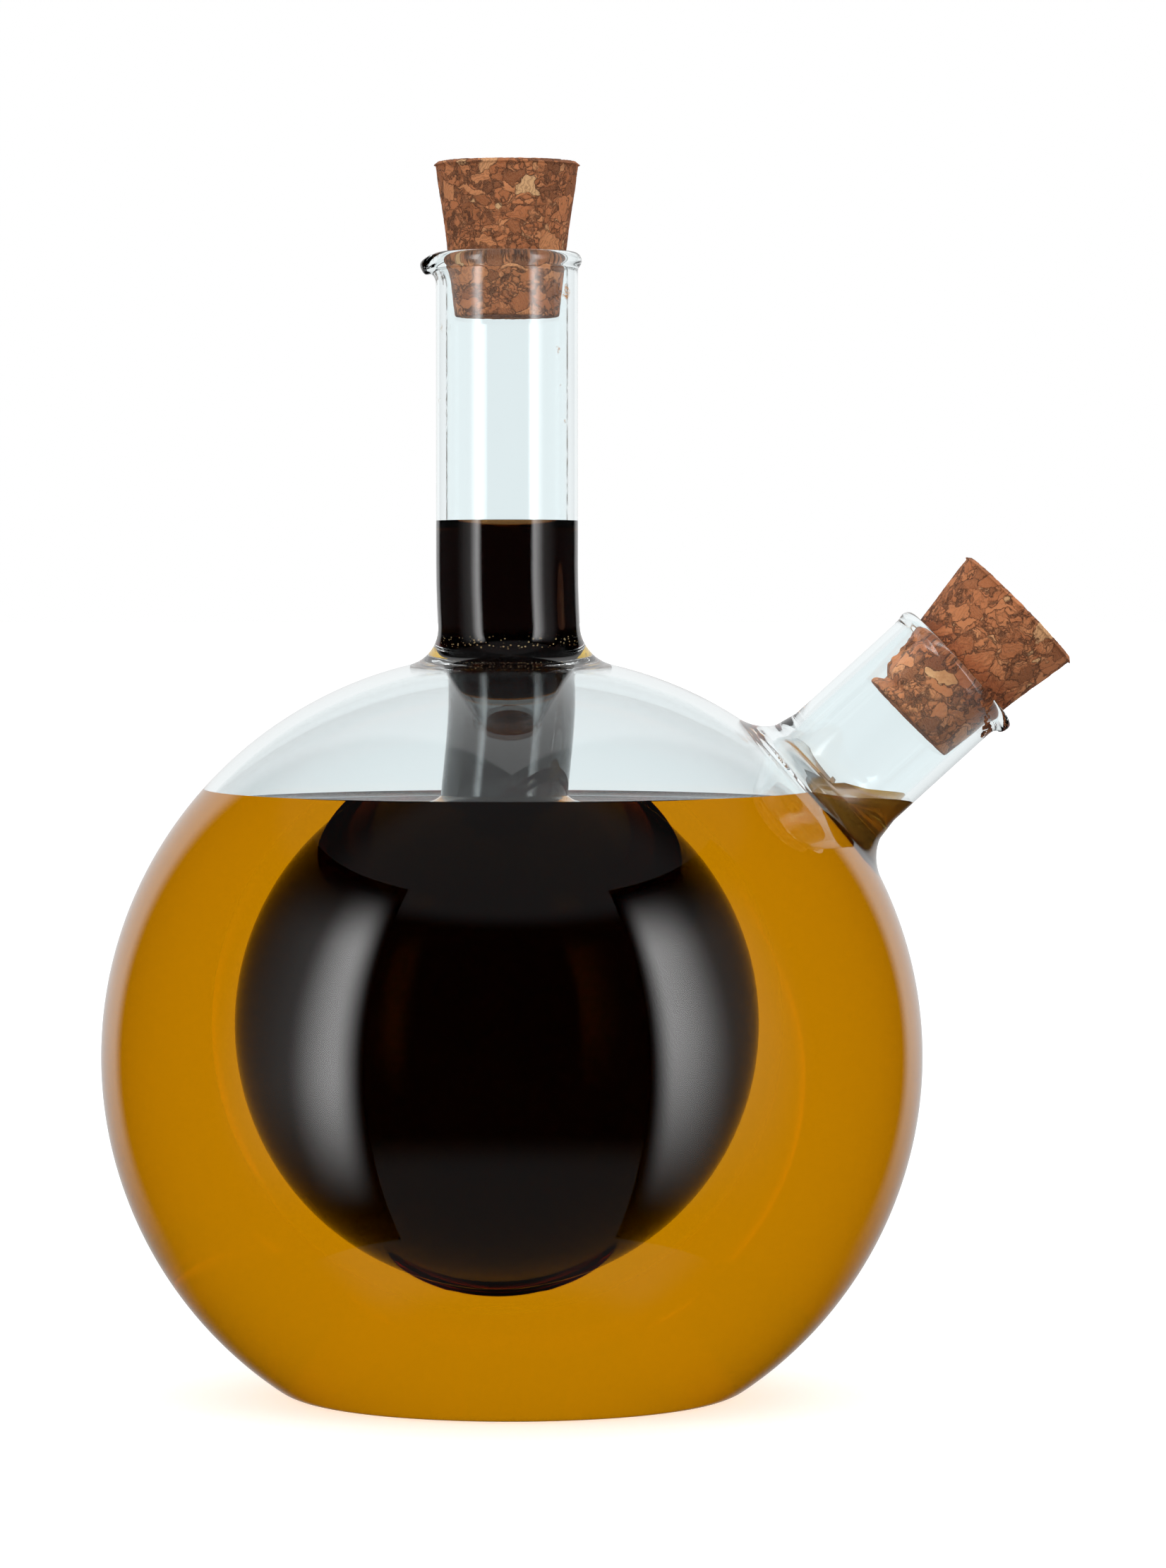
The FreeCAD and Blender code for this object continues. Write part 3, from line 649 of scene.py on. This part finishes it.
class Finish:
    """The node tree of a material or of the world."""

    def __init__(self, owner):
        self.owner = owner
        owner.use_nodes = True
        self.tree = owner.node_tree
        self.tree.nodes.clear()

    def node(self, kind, settings=None, sockets=None, output=0):
        """A node of a type, with its settings made first and then its sockets filled with
        numbers, colours or values."""
        made = self.tree.nodes.new(kind)
        for name, setting in (settings or {}).items():
            if name == "stops":
                ramp = made.color_ramp.elements
                while len(ramp) > 1:
                    ramp.remove(ramp[-1])
                for place, colour in setting:
                    stop = ramp[0] if place == setting[0][0] else ramp.new(place)
                    stop.position, stop.color = place, (*colour, 1.0)
            else:
                setattr(made, name, setting)
        for name, given in (sockets or {}).items():
            socket = made.inputs[name]
            if isinstance(given, Value):
                self.tree.links.new(given.socket, socket)
            else:
                socket.default_value = (*given, 1.0) if socket.type == "RGBA" else given
        return Value(self, made.outputs[output])

    def place(self):
        """Object coordinates, in millimetres."""
        return self.vector("MULTIPLY", self.node("ShaderNodeTexCoord", output=3), (1 / MM,) * 3)

    def parts(self, vector):
        """The three numbers of a vector."""
        node = self.node("ShaderNodeSeparateXYZ", sockets={0: vector}).socket.node
        return [Value(self, socket) for socket in node.outputs]

    def blend(self, share, first, second, how="MIX"):
        """A colour that goes from the first to the second, or takes the second's effect."""
        return self.node("ShaderNodeMix", {"data_type": "RGBA", "blend_type": how},
                         {0: share, 6: first, 7: second}, 2)

    def mix(self, share, first, second):
        """A shader that goes from the first to the second."""
        return self.node("ShaderNodeMixShader", {}, {0: share, 1: first, 2: second})

    def vector(self, operation, *given, output=0):
        """A vector, or the number, of a Vector Math node of others in order."""
        return self.node("ShaderNodeVectorMath", {"operation": operation},
                         dict(enumerate(given)), output)

    def noise(self, vector, scale, detail=3.0, rough=0.55, output=0):
        """Cloudy noise from 0 to 1, or a colour of three such."""
        return self.node("ShaderNodeTexNoise", {}, {"Vector": vector, "Scale": scale,
                         "Detail": detail, "Roughness": rough}, output)

    def stray(self, start, place, scale, detail, rough, reach):
        """A start moved along each axis by noise at a place, less a half, times a reach."""
        noise = self.noise(place, scale, detail, rough, 1)
        way = self.vector("SUBTRACT", noise, (0.5, 0.5, 0.5))
        return self.vector("ADD", start, self.vector("MULTIPLY", way, reach))

    def cells(self, vector, scale, feature="F1", output=0):
        """Cells about scattered points: the distance to a point, the colour of a cell, or the
        distance to its edge."""
        return self.node("ShaderNodeTexVoronoi", {"feature": feature},
                         {"Vector": vector, "Scale": scale}, output)

    def light(self, name):
        """Whether a ray is of a kind, or how many bounces of a kind it has behind it."""
        return self.node("ShaderNodeLightPath", output=name)

    def polished(self, tint, ior):
        """Clear, polished and see-through: what is behind it is tinted once for each of two
        faces by the root of the tint."""
        return self.node("ShaderNodeBsdfPrincipled", {}, {
            "Base Color": tint, "Roughness": 0.0, "IOR": ior, "Transmission Weight": 1.0})

    def film(self, colour, rough):
        """A coat that hides what is under it."""
        return self.node("ShaderNodeBsdfPrincipled", {}, {"Base Color": colour, "Roughness": rough})

    def glow(self, strength):
        """White light of a strength."""
        return self.node("ShaderNodeEmission", {}, {"Color": WHITE, "Strength": strength})

    def end(self, surface, kind="ShaderNodeOutputMaterial"):
        """Shows a shader."""
        output = self.tree.nodes.new(kind)
        self.tree.links.new(surface.socket, output.inputs["Surface"])
        return self.owner


def new_finish(name):
    """The node tree of a new material."""
    return Finish(bpy.data.materials.new(name))


def clear_finish(name, ior):
    """A finish that is clear and has no tint of its own."""
    finish = new_finish(name)
    return finish.end(finish.polished(WHITE, ior))


# Glass against air and vinegar against air. Oil bends light as this glass does.
GLASS_IOR = 1.47
VINEGAR_IOR = 1.347
WHITE = (1.0, 1.0, 1.0)
GLASS_TINT = (0.91, 0.966, 0.976)
OIL_TINT = (0.585, 0.224, 0.0004)
THIN_OIL_TINT = (0.70, 0.42, 0.06)
OIL_HAZE = (0.30, 0.14, 0.02)
VINEGAR_TINT = (0.003, 0.0004, 0.0002)
THIN_VINEGAR_TINT = (0.75, 0.36, 0.12)
# The colour of the painted dark line of shade on the neck's bore.
GRAZING_SHADE = (0.10, 0.075, 0.05)
BUBBLE = (0.42, 0.30, 0.13)
CREAM, ORANGE, BROWN = (0.62, 0.47, 0.30), (0.62, 0.27, 0.07), (0.16, 0.085, 0.04)

# Marks of use on the neck: the middle, the reach along each axis, the share and the colour.
STAINS = (
    ((-10.6, -2.0, 158.6), (0.7, 1.6, 0.9), 0.9, BROWN),
    ((-9.6, -3.2, 150.5), (0.5, 1.4, 3.4), 0.5, CREAM),
    ((-9.8, -2.2, 140.4), (0.6, 1.4, 3.0), 0.45, CREAM),
    ((7.7, -5.6, 156.2), (1.3, 1.0, 1.2), 0.9, ORANGE),
    ((6.4, -6.9, 148.0), (0.35, 0.5, 0.9), 0.6, ORANGE),
    ((7.3, -5.6, 138.0), (0.3, 0.5, 0.7), 0.6, ORANGE),
    ((6.9, -6.2, 143.2), (0.3, 0.4, 0.6), 0.5, ORANGE),
    ((-0.2, -9.4, 146.2), (0.9, 0.6, 0.3), 0.25, CREAM),
)

# Where bubbles stand over the ring seal, and where the vinegar's surface thins as it climbs.
BUBBLE_FOOT, BUBBLE_HEAD = (105.4, 106.1), (107.3, 108.2)
BUBBLE_CELLS = 2.1
VINEGAR_THINS = (122.85, 123.3)
# Where the oil is thin in the spout: distance from the spout's axis and along it.
OIL_THINS_ACROSS, OIL_THINS_ALONG = (9.5, 13.0), (49.0, 55.0)


def stains_and_grazing_shade_finish():
    """Clear glass with the marks of use on its neck, each a ragged spot, and a painted dark
    hairline of shade along the bore near the ring seal, which shows only in a narrow band of
    viewing angles, seen from inside the glass."""
    finish = new_finish("clear_glass")
    place = finish.place()
    ragged = finish.stray(place, place, 0.9, 3.0, 0.6, (1.6, 1.6, 3.4))
    clear = finish.polished(GLASS_TINT, GLASS_IOR)
    patchy = finish.noise(place, 2.4, 3.0, 0.65).between(0.40, 0.62)
    for spot, reach, share, colour in STAINS:
        offset = finish.vector("DIVIDE", finish.vector("SUBTRACT", ragged, spot), reach)
        away = finish.vector("LENGTH", offset, output=1)
        cover = (1.0 - away.between(0.55, 1.0)) * (0.25 + patchy * 0.75) * share
        clear = finish.mix(cover, clear, finish.film(colour, 0.55))
    x, y, z = finish.parts(place)
    wall = ((x + NECK_ASIDE) * (x + NECK_ASIDE) + y * y) ** 0.5
    in_bore = (1.0 - wall.between(NECK_BORE + 0.1, NECK_BORE + 0.2)) * z.between(105.0, 106.0)
    # Painted shade: a dark line on the bore that shows only in a narrow band of viewing angles.
    facing = finish.node("ShaderNodeLayerWeight", {}, {"Blend": 0.5}, 1)
    from_glass = finish.node("ShaderNodeNewGeometry", output=6)
    grazed = facing.between(0.254, 0.264) * (1.0 - facing.between(0.268, 0.276)) * from_glass
    drawn_out = finish.vector("MULTIPLY", place, (1.0, 1.0, 0.35))
    broken = finish.noise(drawn_out, 1.3, 4.0, 0.7).between(0.36, 0.56)
    cover = grazed * in_bore * broken * 0.75
    return finish.end(finish.mix(cover, clear, finish.film(GRAZING_SHADE, 0.6)))


def glass_finishes():
    """Dry glass, glass that is wet with oil, whose index is the glass's own, and glass that
    is wet with vinegar, whose index is a little less."""
    return (stains_and_grazing_shade_finish(), clear_finish("glass_in_oil", 1.0),
            clear_finish("glass_in_vinegar", GLASS_IOR / VINEGAR_IOR))


def oil_finishes():
    """Oil against the globe and the oil's open top, both paler and a little hazy where the
    oil is thin in the spout, and oil against the bulb, where light passes without more of
    the tint."""
    made = []
    for name, ior in (("oil_at_globe", 1.0), ("oil_top", GLASS_IOR)):
        finish = new_finish(name)
        place = finish.place()
        offset = finish.vector("SUBTRACT", place, tuple(SPOUT_ROOT))
        along = finish.vector("DOT_PRODUCT", offset, tuple(SPOUT_AXIS), output=1)
        square = finish.vector("CROSS_PRODUCT", offset, tuple(SPOUT_AXIS))
        radius = finish.vector("LENGTH", square, output=1)
        thin = (1.0 - radius.between(*OIL_THINS_ACROSS)) * along.between(*OIL_THINS_ALONG)
        clear = finish.polished(finish.blend(thin, OIL_TINT, THIN_OIL_TINT), ior)
        haze = finish.node("ShaderNodeBsdfDiffuse", {}, {"Color": OIL_HAZE})
        share = thin * (0.30 + 0.25 * finish.noise(place, 0.25, 2.0))
        made.append(finish.end(finish.mix(share, clear, haze)))
    return (*made, clear_finish("oil_at_bulb", 1.0))


def vinegar_finishes():
    """Vinegar against the glass, with a band of tiny bubbles held over the ring seal, and
    the vinegar's open top. Both let an orange brown through where the surface climbs."""
    made = []
    for name, ior in (("vinegar_at_glass", 1.0), ("vinegar_top", VINEGAR_IOR)):
        finish = new_finish(name)
        place = finish.place()
        height = finish.parts(place)[2]
        tint = finish.blend(height.between(*VINEGAR_THINS), VINEGAR_TINT, THIN_VINEGAR_TINT)
        surface = finish.polished(tint, ior)
        if name == "vinegar_at_glass":
            ragged = height + 0.35 * finish.noise(place, 0.5, 2.0)
            band = ragged.between(*BUBBLE_FOOT) * (1.0 - ragged.between(*BUBBLE_HEAD))
            away = finish.cells(place, BUBBLE_CELLS)
            own = finish.parts(finish.cells(place, BUBBLE_CELLS, output=1))[0]
            bubble = (1.0 - away.between(0.20, 0.34)) * own.between(0.45, 0.5) * band
            surface = finish.mix(bubble * 0.8, surface, finish.film(BUBBLE, 0.3))
        made.append(finish.end(surface))
    return tuple(made)


def wear(piece, finishes, body, slot, *nodes):
    """Gives a piece its finishes and its body, and hides the nodes it stands for. The slot is not
    used.
    """
    for finish in finishes:
        piece.data.materials.append(finish)
    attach(piece, body)
    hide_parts(*nodes)


# Pressed corks. Their chips, wear and soaked bands are measured from the small end.
CORK_COLUMNS = 272
CORK_SLOPE = 0.12
SMALL_EDGE, LARGE_EDGE = 0.4, 0.28
CHIP_SIZE = 1.9
BIG_CHIPS, SMALL_CHIPS = 0.36, 0.85
CORK_TONES = (
    (0.0, (0.19, 0.058, 0.020)), (0.12, (0.33, 0.105, 0.036)), (0.32, (0.45, 0.145, 0.050)),
    (0.58, (0.54, 0.182, 0.066)), (0.82, (0.60, 0.218, 0.082)), (0.95, (0.66, 0.27, 0.11)),
    (1.0, (0.76, 0.47, 0.23)))
GROWTH_LINE, SEAM = (0.17, 0.055, 0.022), (0.075, 0.021, 0.008)
PIT, SPECK, SOAKED = (0.13, 0.042, 0.017), (0.52, 0.27, 0.14), (0.62, 0.36, 0.17)


def hash_noise(cell, seed):
    """A number from 0 to 1 for each whole cell: the fraction of a large sine."""
    mixed = cell @ np.array((127.1, 311.7, 74.7)) + seed * 17.13
    return np.abs(np.sin(mixed) * 43758.5453) % 1.0


def clouds(points, size, seed):
    """Smooth noise from -1 to 1: the corner values of each cell of a size, blended by smooth
    steps along each direction."""
    scaled = points / size
    cell = np.floor(scaled)
    part = step_up(scaled - cell, 0.0, 1.0)
    total = 0.0
    for corner in np.ndindex(2, 2, 2):
        weight = np.prod(np.where(np.array(corner) == 1, part, 1 - part), axis=-1)
        total = total + weight * hash_noise(cell + corner, seed)
    return 2 * total - 1


def chips(points, size, seed):
    """Chips about scattered points: how near each place is to the seam between its two
    nearest chips, from 0 at the seam to 1, and a number of its own chip from 0 to 1."""
    scaled = points / size
    cell = np.floor(scaled)
    nearest = np.full(scaled.shape[:-1], 9.0)
    second = nearest.copy()
    own = nearest.copy()
    for step in np.ndindex(3, 3, 3):
        other = cell + np.array(step) - 1
        spot = other + np.stack([hash_noise(other, seed + shift) for shift in range(3)], axis=-1)
        away = np.linalg.norm(scaled - spot, axis=-1)
        closer = away < nearest
        second = np.where(closer, nearest, np.minimum(second, away))
        own = np.where(closer, hash_noise(other, seed + 3), own)
        nearest = np.where(closer, away, nearest)
    return np.clip((second - nearest) * 2.5, 0, 1), own


def make_cork(name, small, length, base, lean, seed, torn):
    """A pressed cork: a profile whose radius grows evenly from its small end, carried round
    its axis, its skin let in at the seams between chips and worn by noise. A torn cork is
    eaten away along its upper side near its small end, with a hook left at the very end."""
    large = small + CORK_SLOPE * length
    end = line((0.0, 0.0), (small - SMALL_EDGE, 0.0), 14)
    turn_low = arc((small - SMALL_EDGE, SMALL_EDGE), SMALL_EDGE, -90.0, -7.0, 5)
    side = line(turn_low[-1], (large - LARGE_EDGE - 0.02, length - LARGE_EDGE), 88)
    turn_high = arc((large - LARGE_EDGE, length - LARGE_EDGE), LARGE_EDGE, 0.0, 90.0, 4)
    path = chain(end, turn_low, side, turn_high, line(turn_high[-1], (0.0, length), 16))
    turn = all_round(CORK_COLUMNS)
    along = path[:, 1, None]
    plain = whirl(path, CORK_COLUMNS)
    stray = np.stack([clouds(plain, 1.3, seed + shift) for shift in (5, 6, 7)], axis=-1)
    seam, own = chips(plain + 0.5 * stray, CHIP_SIZE, seed)
    worn = (0.05 * (own - 0.5) + 0.035 * clouds(plain, 0.5, seed + 11)
            + 0.03 * clouds(plain, 0.24, seed + 12))
    crevice = (1 - step_up(seam, 0.0, 0.22)) * step_up(clouds(plain, 2.2, seed + 13), -0.1, 0.5)
    depth = np.clip(0.03 - worn, 0.0, None) + 0.22 * crevice - 0.34 * step_up(along, 11.0, 21.0)
    if torn:
        # Angle 180 degrees is the upper side of the side cork; the hook is near the front.
        upper = step_up(np.cos(turn - np.radians(180.0)), 0.55, 0.95)
        rag = 0.5 + 0.5 * clouds(plain, 0.9, seed + 14)
        eaten = step_up(along, 1.6, 3.2) * (1 - step_up(along, 9.5, 11.5))
        depth = depth + upper * eaten * (0.2 + 0.6 * rag)
        front = step_up(np.cos(turn - np.radians(196.0)), 0.6, 0.9)
        depth = depth + 1.5 * np.exp(-(((along - 1.9) / 0.75) ** 2)) * front
    flat = np.abs(np.gradient(path[:, 1])) < 0.3 * np.abs(np.gradient(path[:, 0]))
    radius = np.maximum(path[:, 0, None] - np.where(flat[:, None], 0.0, depth), 0.0)
    at_end = flat & (path[:, 1] < length / 2)
    at_top = flat & (path[:, 1] > length / 2)
    # The flat ends follow the side's wear at their rims and are pitted like it.
    rim_low, rim_high = radius[~flat][0], radius[~flat][-1]
    radius[at_end] *= np.minimum(rim_low / (small - SMALL_EDGE), 1.0)
    radius[at_top] *= np.minimum(rim_high / (large - LARGE_EDGE), 1.0)
    along = along + np.where(at_end[:, None], depth, 0) - np.where(at_top[:, None], depth, 0)
    x, y = radius * np.cos(turn), radius * np.sin(turn)
    across, up = np.cos(np.radians(lean)), np.sin(np.radians(lean))
    grid = np.stack((base[0] + x * across + along * up, base[1] + y,
                     base[2] - x * up + along * across), axis=2)
    skin = Surface()
    rings = skin.add(grid[1:-1])
    skin.quads(rings)
    skin.fan(rings[0], grid[0, :1], True)
    skin.fan(rings[-1], grid[-1, :1])
    return skin.mesh(name)


def cork_finish(name, base, lean, soaked):
    """Pressed cork: chips of several sizes in tans with dark seams, growth lines across each
    chip in its own direction, a few pale chips, pits, and a band that drink has soaked."""
    finish = new_finish(name)
    place = finish.place()
    bent = finish.stray(place, place, 0.32, 2.0, 0.5, (4.2, 4.2, 4.2))
    bent = finish.stray(bent, place, 1.6, 3.0, 0.6, (0.9, 0.9, 0.9))
    long_way = finish.vector("MULTIPLY", bent, (1.0, 1.0, 1.55))
    big = finish.cells(long_way, BIG_CHIPS, output=1)
    big_edge = finish.cells(long_way, BIG_CHIPS, "DISTANCE_TO_EDGE")
    small = finish.cells(bent, SMALL_CHIPS, output=1)
    small_edge = finish.cells(bent, SMALL_CHIPS, "DISTANCE_TO_EDGE")
    shade, lined, crumbled = finish.parts(big)
    fill_in = crumbled.between(0.44, 0.48)
    own = shade * (1.0 - fill_in) + finish.parts(small)[0] * fill_in
    edge = (big_edge * 2.8).least((small_edge + (1.0 - fill_in) * 9.0) * 1.2)
    tone = finish.node("ShaderNodeValToRGB", {"stops": CORK_TONES}, {0: own})
    way = finish.vector("SUBTRACT", finish.blend(fill_in, big, small), (0.5, 0.5, 0.5))
    across = finish.vector("DOT_PRODUCT", bent, finish.vector("NORMALIZE", way), output=1)
    wave = across * 13.0 + finish.noise(place, 0.9, 2.0) * 6.0
    growth = wave.math("SINE", wave).between(0.1, 1.0) * lined.between(0.2, 0.55)
    seam = 1.0 - edge.between(0.03, 0.20)
    cloudy = finish.noise(place, 0.75, 4.0, 0.6)
    pit = finish.noise(place, 2.6, 3.0, 0.7).between(0.60, 0.70)
    speck = finish.noise(place, 7.0, 2.0, 0.6)
    colour = finish.blend(growth * 0.42, tone, GROWTH_LINE)
    colour = finish.blend(seam * cloudy.between(0.26, 0.56) * 0.92, colour, SEAM)
    colour = finish.blend(pit * 0.5, colour, PIT)
    colour = finish.blend(speck.between(0.35, 0.75) * 0.35, colour, SPECK)
    # How far along the cork a place is, from its small end.
    tilt = np.radians(lean)
    axis = (float(np.sin(tilt)), 0.0, float(np.cos(tilt)))
    along = finish.vector("DOT_PRODUCT", place, axis, output=1) - float(np.dot(base, axis))
    ragged = along + (cloudy - 0.5) * 5.0
    low, high, share = soaked
    wet = ragged.between(low - 1.2, low + 1.2) * (1.0 - ragged.between(high - 1.0, high + 1.0))
    wet = wet * share
    colour = finish.blend(wet, colour, SOAKED, "MULTIPLY")
    height = (edge.between(0.0, 0.25) * 0.7 + cloudy * 0.6 - pit * 0.5 + speck * 0.2
              - growth * 0.15)
    bump = finish.node("ShaderNodeBump", {}, {"Strength": 0.55, "Distance": 0.22 * MM,
                                              "Height": height})
    return finish.end(finish.node("ShaderNodeBsdfPrincipled", {}, {
        "Base Color": colour, "Roughness": 0.74 + cloudy * 0.2 - wet * 0.3, "Normal": bump,
        "Specular IOR Level": 0.35}))


# The studio, in metres.
FLOOR_REACH = 30.0
FLOOR_GREY, FLOOR_LIFT, FLOOR_INDIRECT = 0.8, 0.56, 0.40
STRIP_AWAY, STRIP_MIDDLE, STRIP_POWER = 2.0, 0.055, 6.4
STRIP_END, STRIP_LOWEST, STRIP_HIGHEST = 93.0, -46.0, 48.0
STRIP_LEAST = 0.6
CEILING_GREY, TABLE_GREY, DARK = 0.19, 0.165, 0.003


def panel(name, grid, glow=None):
    """A sheet through a grid of points in metres that belongs to the studio, with a glow for
    each of its points."""
    rows, columns = grid.shape[:2]
    at = np.arange(rows * columns).reshape(rows, columns)
    faces = np.stack((at[:-1, :-1], at[:-1, 1:], at[1:, 1:], at[1:, :-1]), axis=2)
    mesh = bpy.data.meshes.new(name)
    mesh.from_pydata(grid.reshape(-1, 3).tolist(), [], faces.reshape(-1, 4).tolist())
    if glow is not None:
        values = mesh.attributes.new("glow", "FLOAT", "POINT").data
        values.foreach_set("value", glow.ravel().astype(np.float32))
    sheet = put(name, mesh)
    return sheet


def ray_kinds(finish):
    """Three shares of a ray: seen straight by the camera, seen through clear glass alone, and
    seen in a mirror image. What is left of 1 is light on matt surfaces."""
    camera = finish.light("Is Camera Ray")
    clear = 1.0 - finish.light("Diffuse Depth").least(1.0)
    mirror = finish.light("Glossy Depth").least(1.0)
    passed = finish.light("Is Transmission Ray")
    polished = passed.most(finish.light("Is Glossy Ray")) * clear
    return camera, passed * clear * (1.0 - mirror), polished * mirror


def make_floor():
    """A wide pale floor. Seen straight it keeps the object's shadow, seen through the glass
    it is as white as what is behind, and mirror images look through it."""
    edges = np.array((-FLOOR_REACH, -1.0, 1.0, FLOOR_REACH))
    x, y = np.meshgrid(edges, edges, indexing="ij")
    floor = panel("floor", np.stack((x, y, 0 * x), axis=-1))
    finish = new_finish("pale_floor")
    camera, through, mirror = ray_kinds(finish)
    matt = finish.node("ShaderNodeBsdfDiffuse", {}, {"Color": (FLOOR_GREY,) * 3})
    lit = finish.node("ShaderNodeAddShader", {}, {0: matt, 1: finish.glow(FLOOR_LIFT)})
    other = finish.glow(through + (1.0 - through) * FLOOR_INDIRECT)
    other = finish.mix(mirror, other, finish.node("ShaderNodeBsdfTransparent"))
    floor.data.materials.append(finish.end(finish.mix(camera, other, lit)))
    floor.visible_glossy = False


def make_strip(side, inner, core, fade, low, high):
    """A tall soft light beside the camera on an arc about the object, in degrees from the
    camera: its glow rises over the inner edge, stays over the core, fades beyond it with a
    long weak tail, and fades at the bottom and the top. Light that the glass has let through
    and then mirrors finds no dark part in it."""
    turn = np.linspace(inner - 1.0, STRIP_END, 70)
    rise = np.linspace(STRIP_LOWEST, STRIP_HIGHEST, 60)
    body = 0.72 * (1 - step_up(turn, core, fade))
    tail = 0.3 * np.exp(-np.clip(turn - core, 0, None) / 15.0)
    tail = tail * (1 - step_up(turn, 74.0, STRIP_END))
    upright = step_up(rise, *low) * (1 - step_up(rise, *high))
    angle = np.radians(turn)
    height = (STRIP_MIDDLE + STRIP_AWAY * np.tan(np.radians(rise)))[:, None]
    grid = np.stack((side * STRIP_AWAY * np.sin(angle) + 0 * height,
                     -STRIP_AWAY * np.cos(angle) + 0 * height, height + 0 * angle), axis=2)
    name = "right" if side > 0 else "left"
    glow = STRIP_POWER * upright[:, None] * (step_up(turn, inner, core) * (body + tail))
    strip = panel(f"strip_light_{name}", grid, glow)
    finish = new_finish(f"strip_glow_{name}")
    _, through, mirror = ray_kinds(finish)
    bright = finish.node("ShaderNodeAttribute", {"attribute_name": "glow"}, output=2)
    bright = bright.most(mirror * finish.light("Is Transmission Ray") * STRIP_LEAST)
    strip.data.materials.append(finish.end(finish.glow(bright * (1.0 - through) + through)))
    strip.visible_camera = False


def make_world():
    """White for the camera and through the clear glass. In mirror images: a white backdrop
    behind the object, a grey ceiling and a grey table before it, and dark elsewhere. Light
    that was mirrored and then passed through glass finds a wider backdrop. An even fill,
    brighter from above and for light that passed through glass, for matt surfaces."""
    world = bpy.data.worlds.new("studio")
    bpy.context.scene.world = world
    finish = Finish(world)
    x, y, z = finish.parts(finish.node("ShaderNodeTexCoord", output=0))
    behind = y / ((x * x + y * y) ** 0.5).most(0.001)
    front = (0.0 - behind).between(0.1, 0.5)
    below = 0.0 - z
    passed = finish.light("Is Transmission Ray")
    near = behind.between(0.76, 0.85) * z.between(-0.42, 0.02) * 0.8
    wide = 1.0 - (0.0 - y).between(0.15, 0.60) * (0.40 + z.between(-0.25, 0.0) * 0.30)
    backdrop = near * (1.0 - passed) + wide * passed
    ceiling = z.between(0.63, 0.71) * (front * 0.7 + 0.3) * CEILING_GREY
    table = front * below.between(0.30, 0.48) * (1.0 - below.between(0.84, 0.94)) * TABLE_GREY
    seen = backdrop + ceiling + table + DARK
    fill = (0.80 + z.between(0.1, 0.9) * 0.35) * (1.0 + passed * 3.2)
    camera, through, mirror = ray_kinds(finish)
    rest = 1.0 - camera - through - mirror
    strength = camera + through + mirror * seen + rest * fill
    sky = finish.node("ShaderNodeBackground", {}, {"Color": WHITE, "Strength": strength})
    finish.end(sky, "ShaderNodeOutputWorld")


def make_camera():
    """A long lens before the object, level with the neck's root, looking slightly down and
    to the right of the neck."""
    lens = bpy.data.cameras.new("camera")
    lens.sensor_width, lens.lens = 36.0, 145.8
    lens.clip_start, lens.clip_end = 0.05, 100.0
    camera = put("camera", lens)
    camera.location = (0.0, -0.9, 0.113)
    camera.rotation_euler = (np.radians(90.0 - 1.66), 0.0, -np.radians(0.64))
    bpy.context.scene.camera = camera


make_camera()
wear(make_glass(), glass_finishes(), "vessel", "glass", "glass_vessel")
wear(make_oil(), oil_finishes(), "vessel", "oil", "oil_fill")
wear(make_vinegar(), vinegar_finishes(), "vessel", "vinegar", "vinegar_fill")

# Each cork's small end: its radius and its middle, and the side cork's lean from upright.
TOP_SMALL, SIDE_SMALL = 7.44, 7.56
TOP_LENGTH, SIDE_LENGTH = 21.6, 22.1
SIDE_LEAN = 45.5
SIDE_ENTRY = 10.7
cork_axis = np.array((np.sin(np.radians(SIDE_LEAN)), 0.0, np.cos(np.radians(SIDE_LEAN))))
TOP_BASE = (-NECK_ASIDE, 0.0, 152.95)
SIDE_BASE = tuple(SPOUT_ROOT + SPOUT_RIM * SPOUT_AXIS + 0.5 * SPOUT_DOWN - SIDE_ENTRY * cork_axis)
# The last three numbers of each finish say from where to where drink has soaked it, and how
# strongly.
wear(make_cork("cork_in_neck", TOP_SMALL, TOP_LENGTH, TOP_BASE, 0.0, 3, False),
     [cork_finish("pressed_cork_top", TOP_BASE, 0.0, (-3.0, 3.5, 0.25))],
     "top_stopper", "cork", "top_cork")
wear(make_cork("cork_in_spout", SIDE_SMALL, SIDE_LENGTH, SIDE_BASE, SIDE_LEAN, 8, True),
     [cork_finish("pressed_cork_side", SIDE_BASE, SIDE_LEAN, (7.0, 12.6, 0.6))],
     "side_stopper", "cork", "side_cork")

make_floor()
make_strip(-1, 41.0, 49.5, 64.0, (-38.0, 0.0), (28.0, 46.0))
make_strip(1, 38.0, 45.0, 64.0, (-40.0, 12.0), (28.0, 46.0))
make_world()

scene = bpy.context.scene
scene.view_settings.view_transform = "Standard"
scene.cycles.max_bounces = 32
scene.cycles.transmission_bounces = 32
scene.cycles.glossy_bounces = 16
scene.cycles.transparent_max_bounces = 16
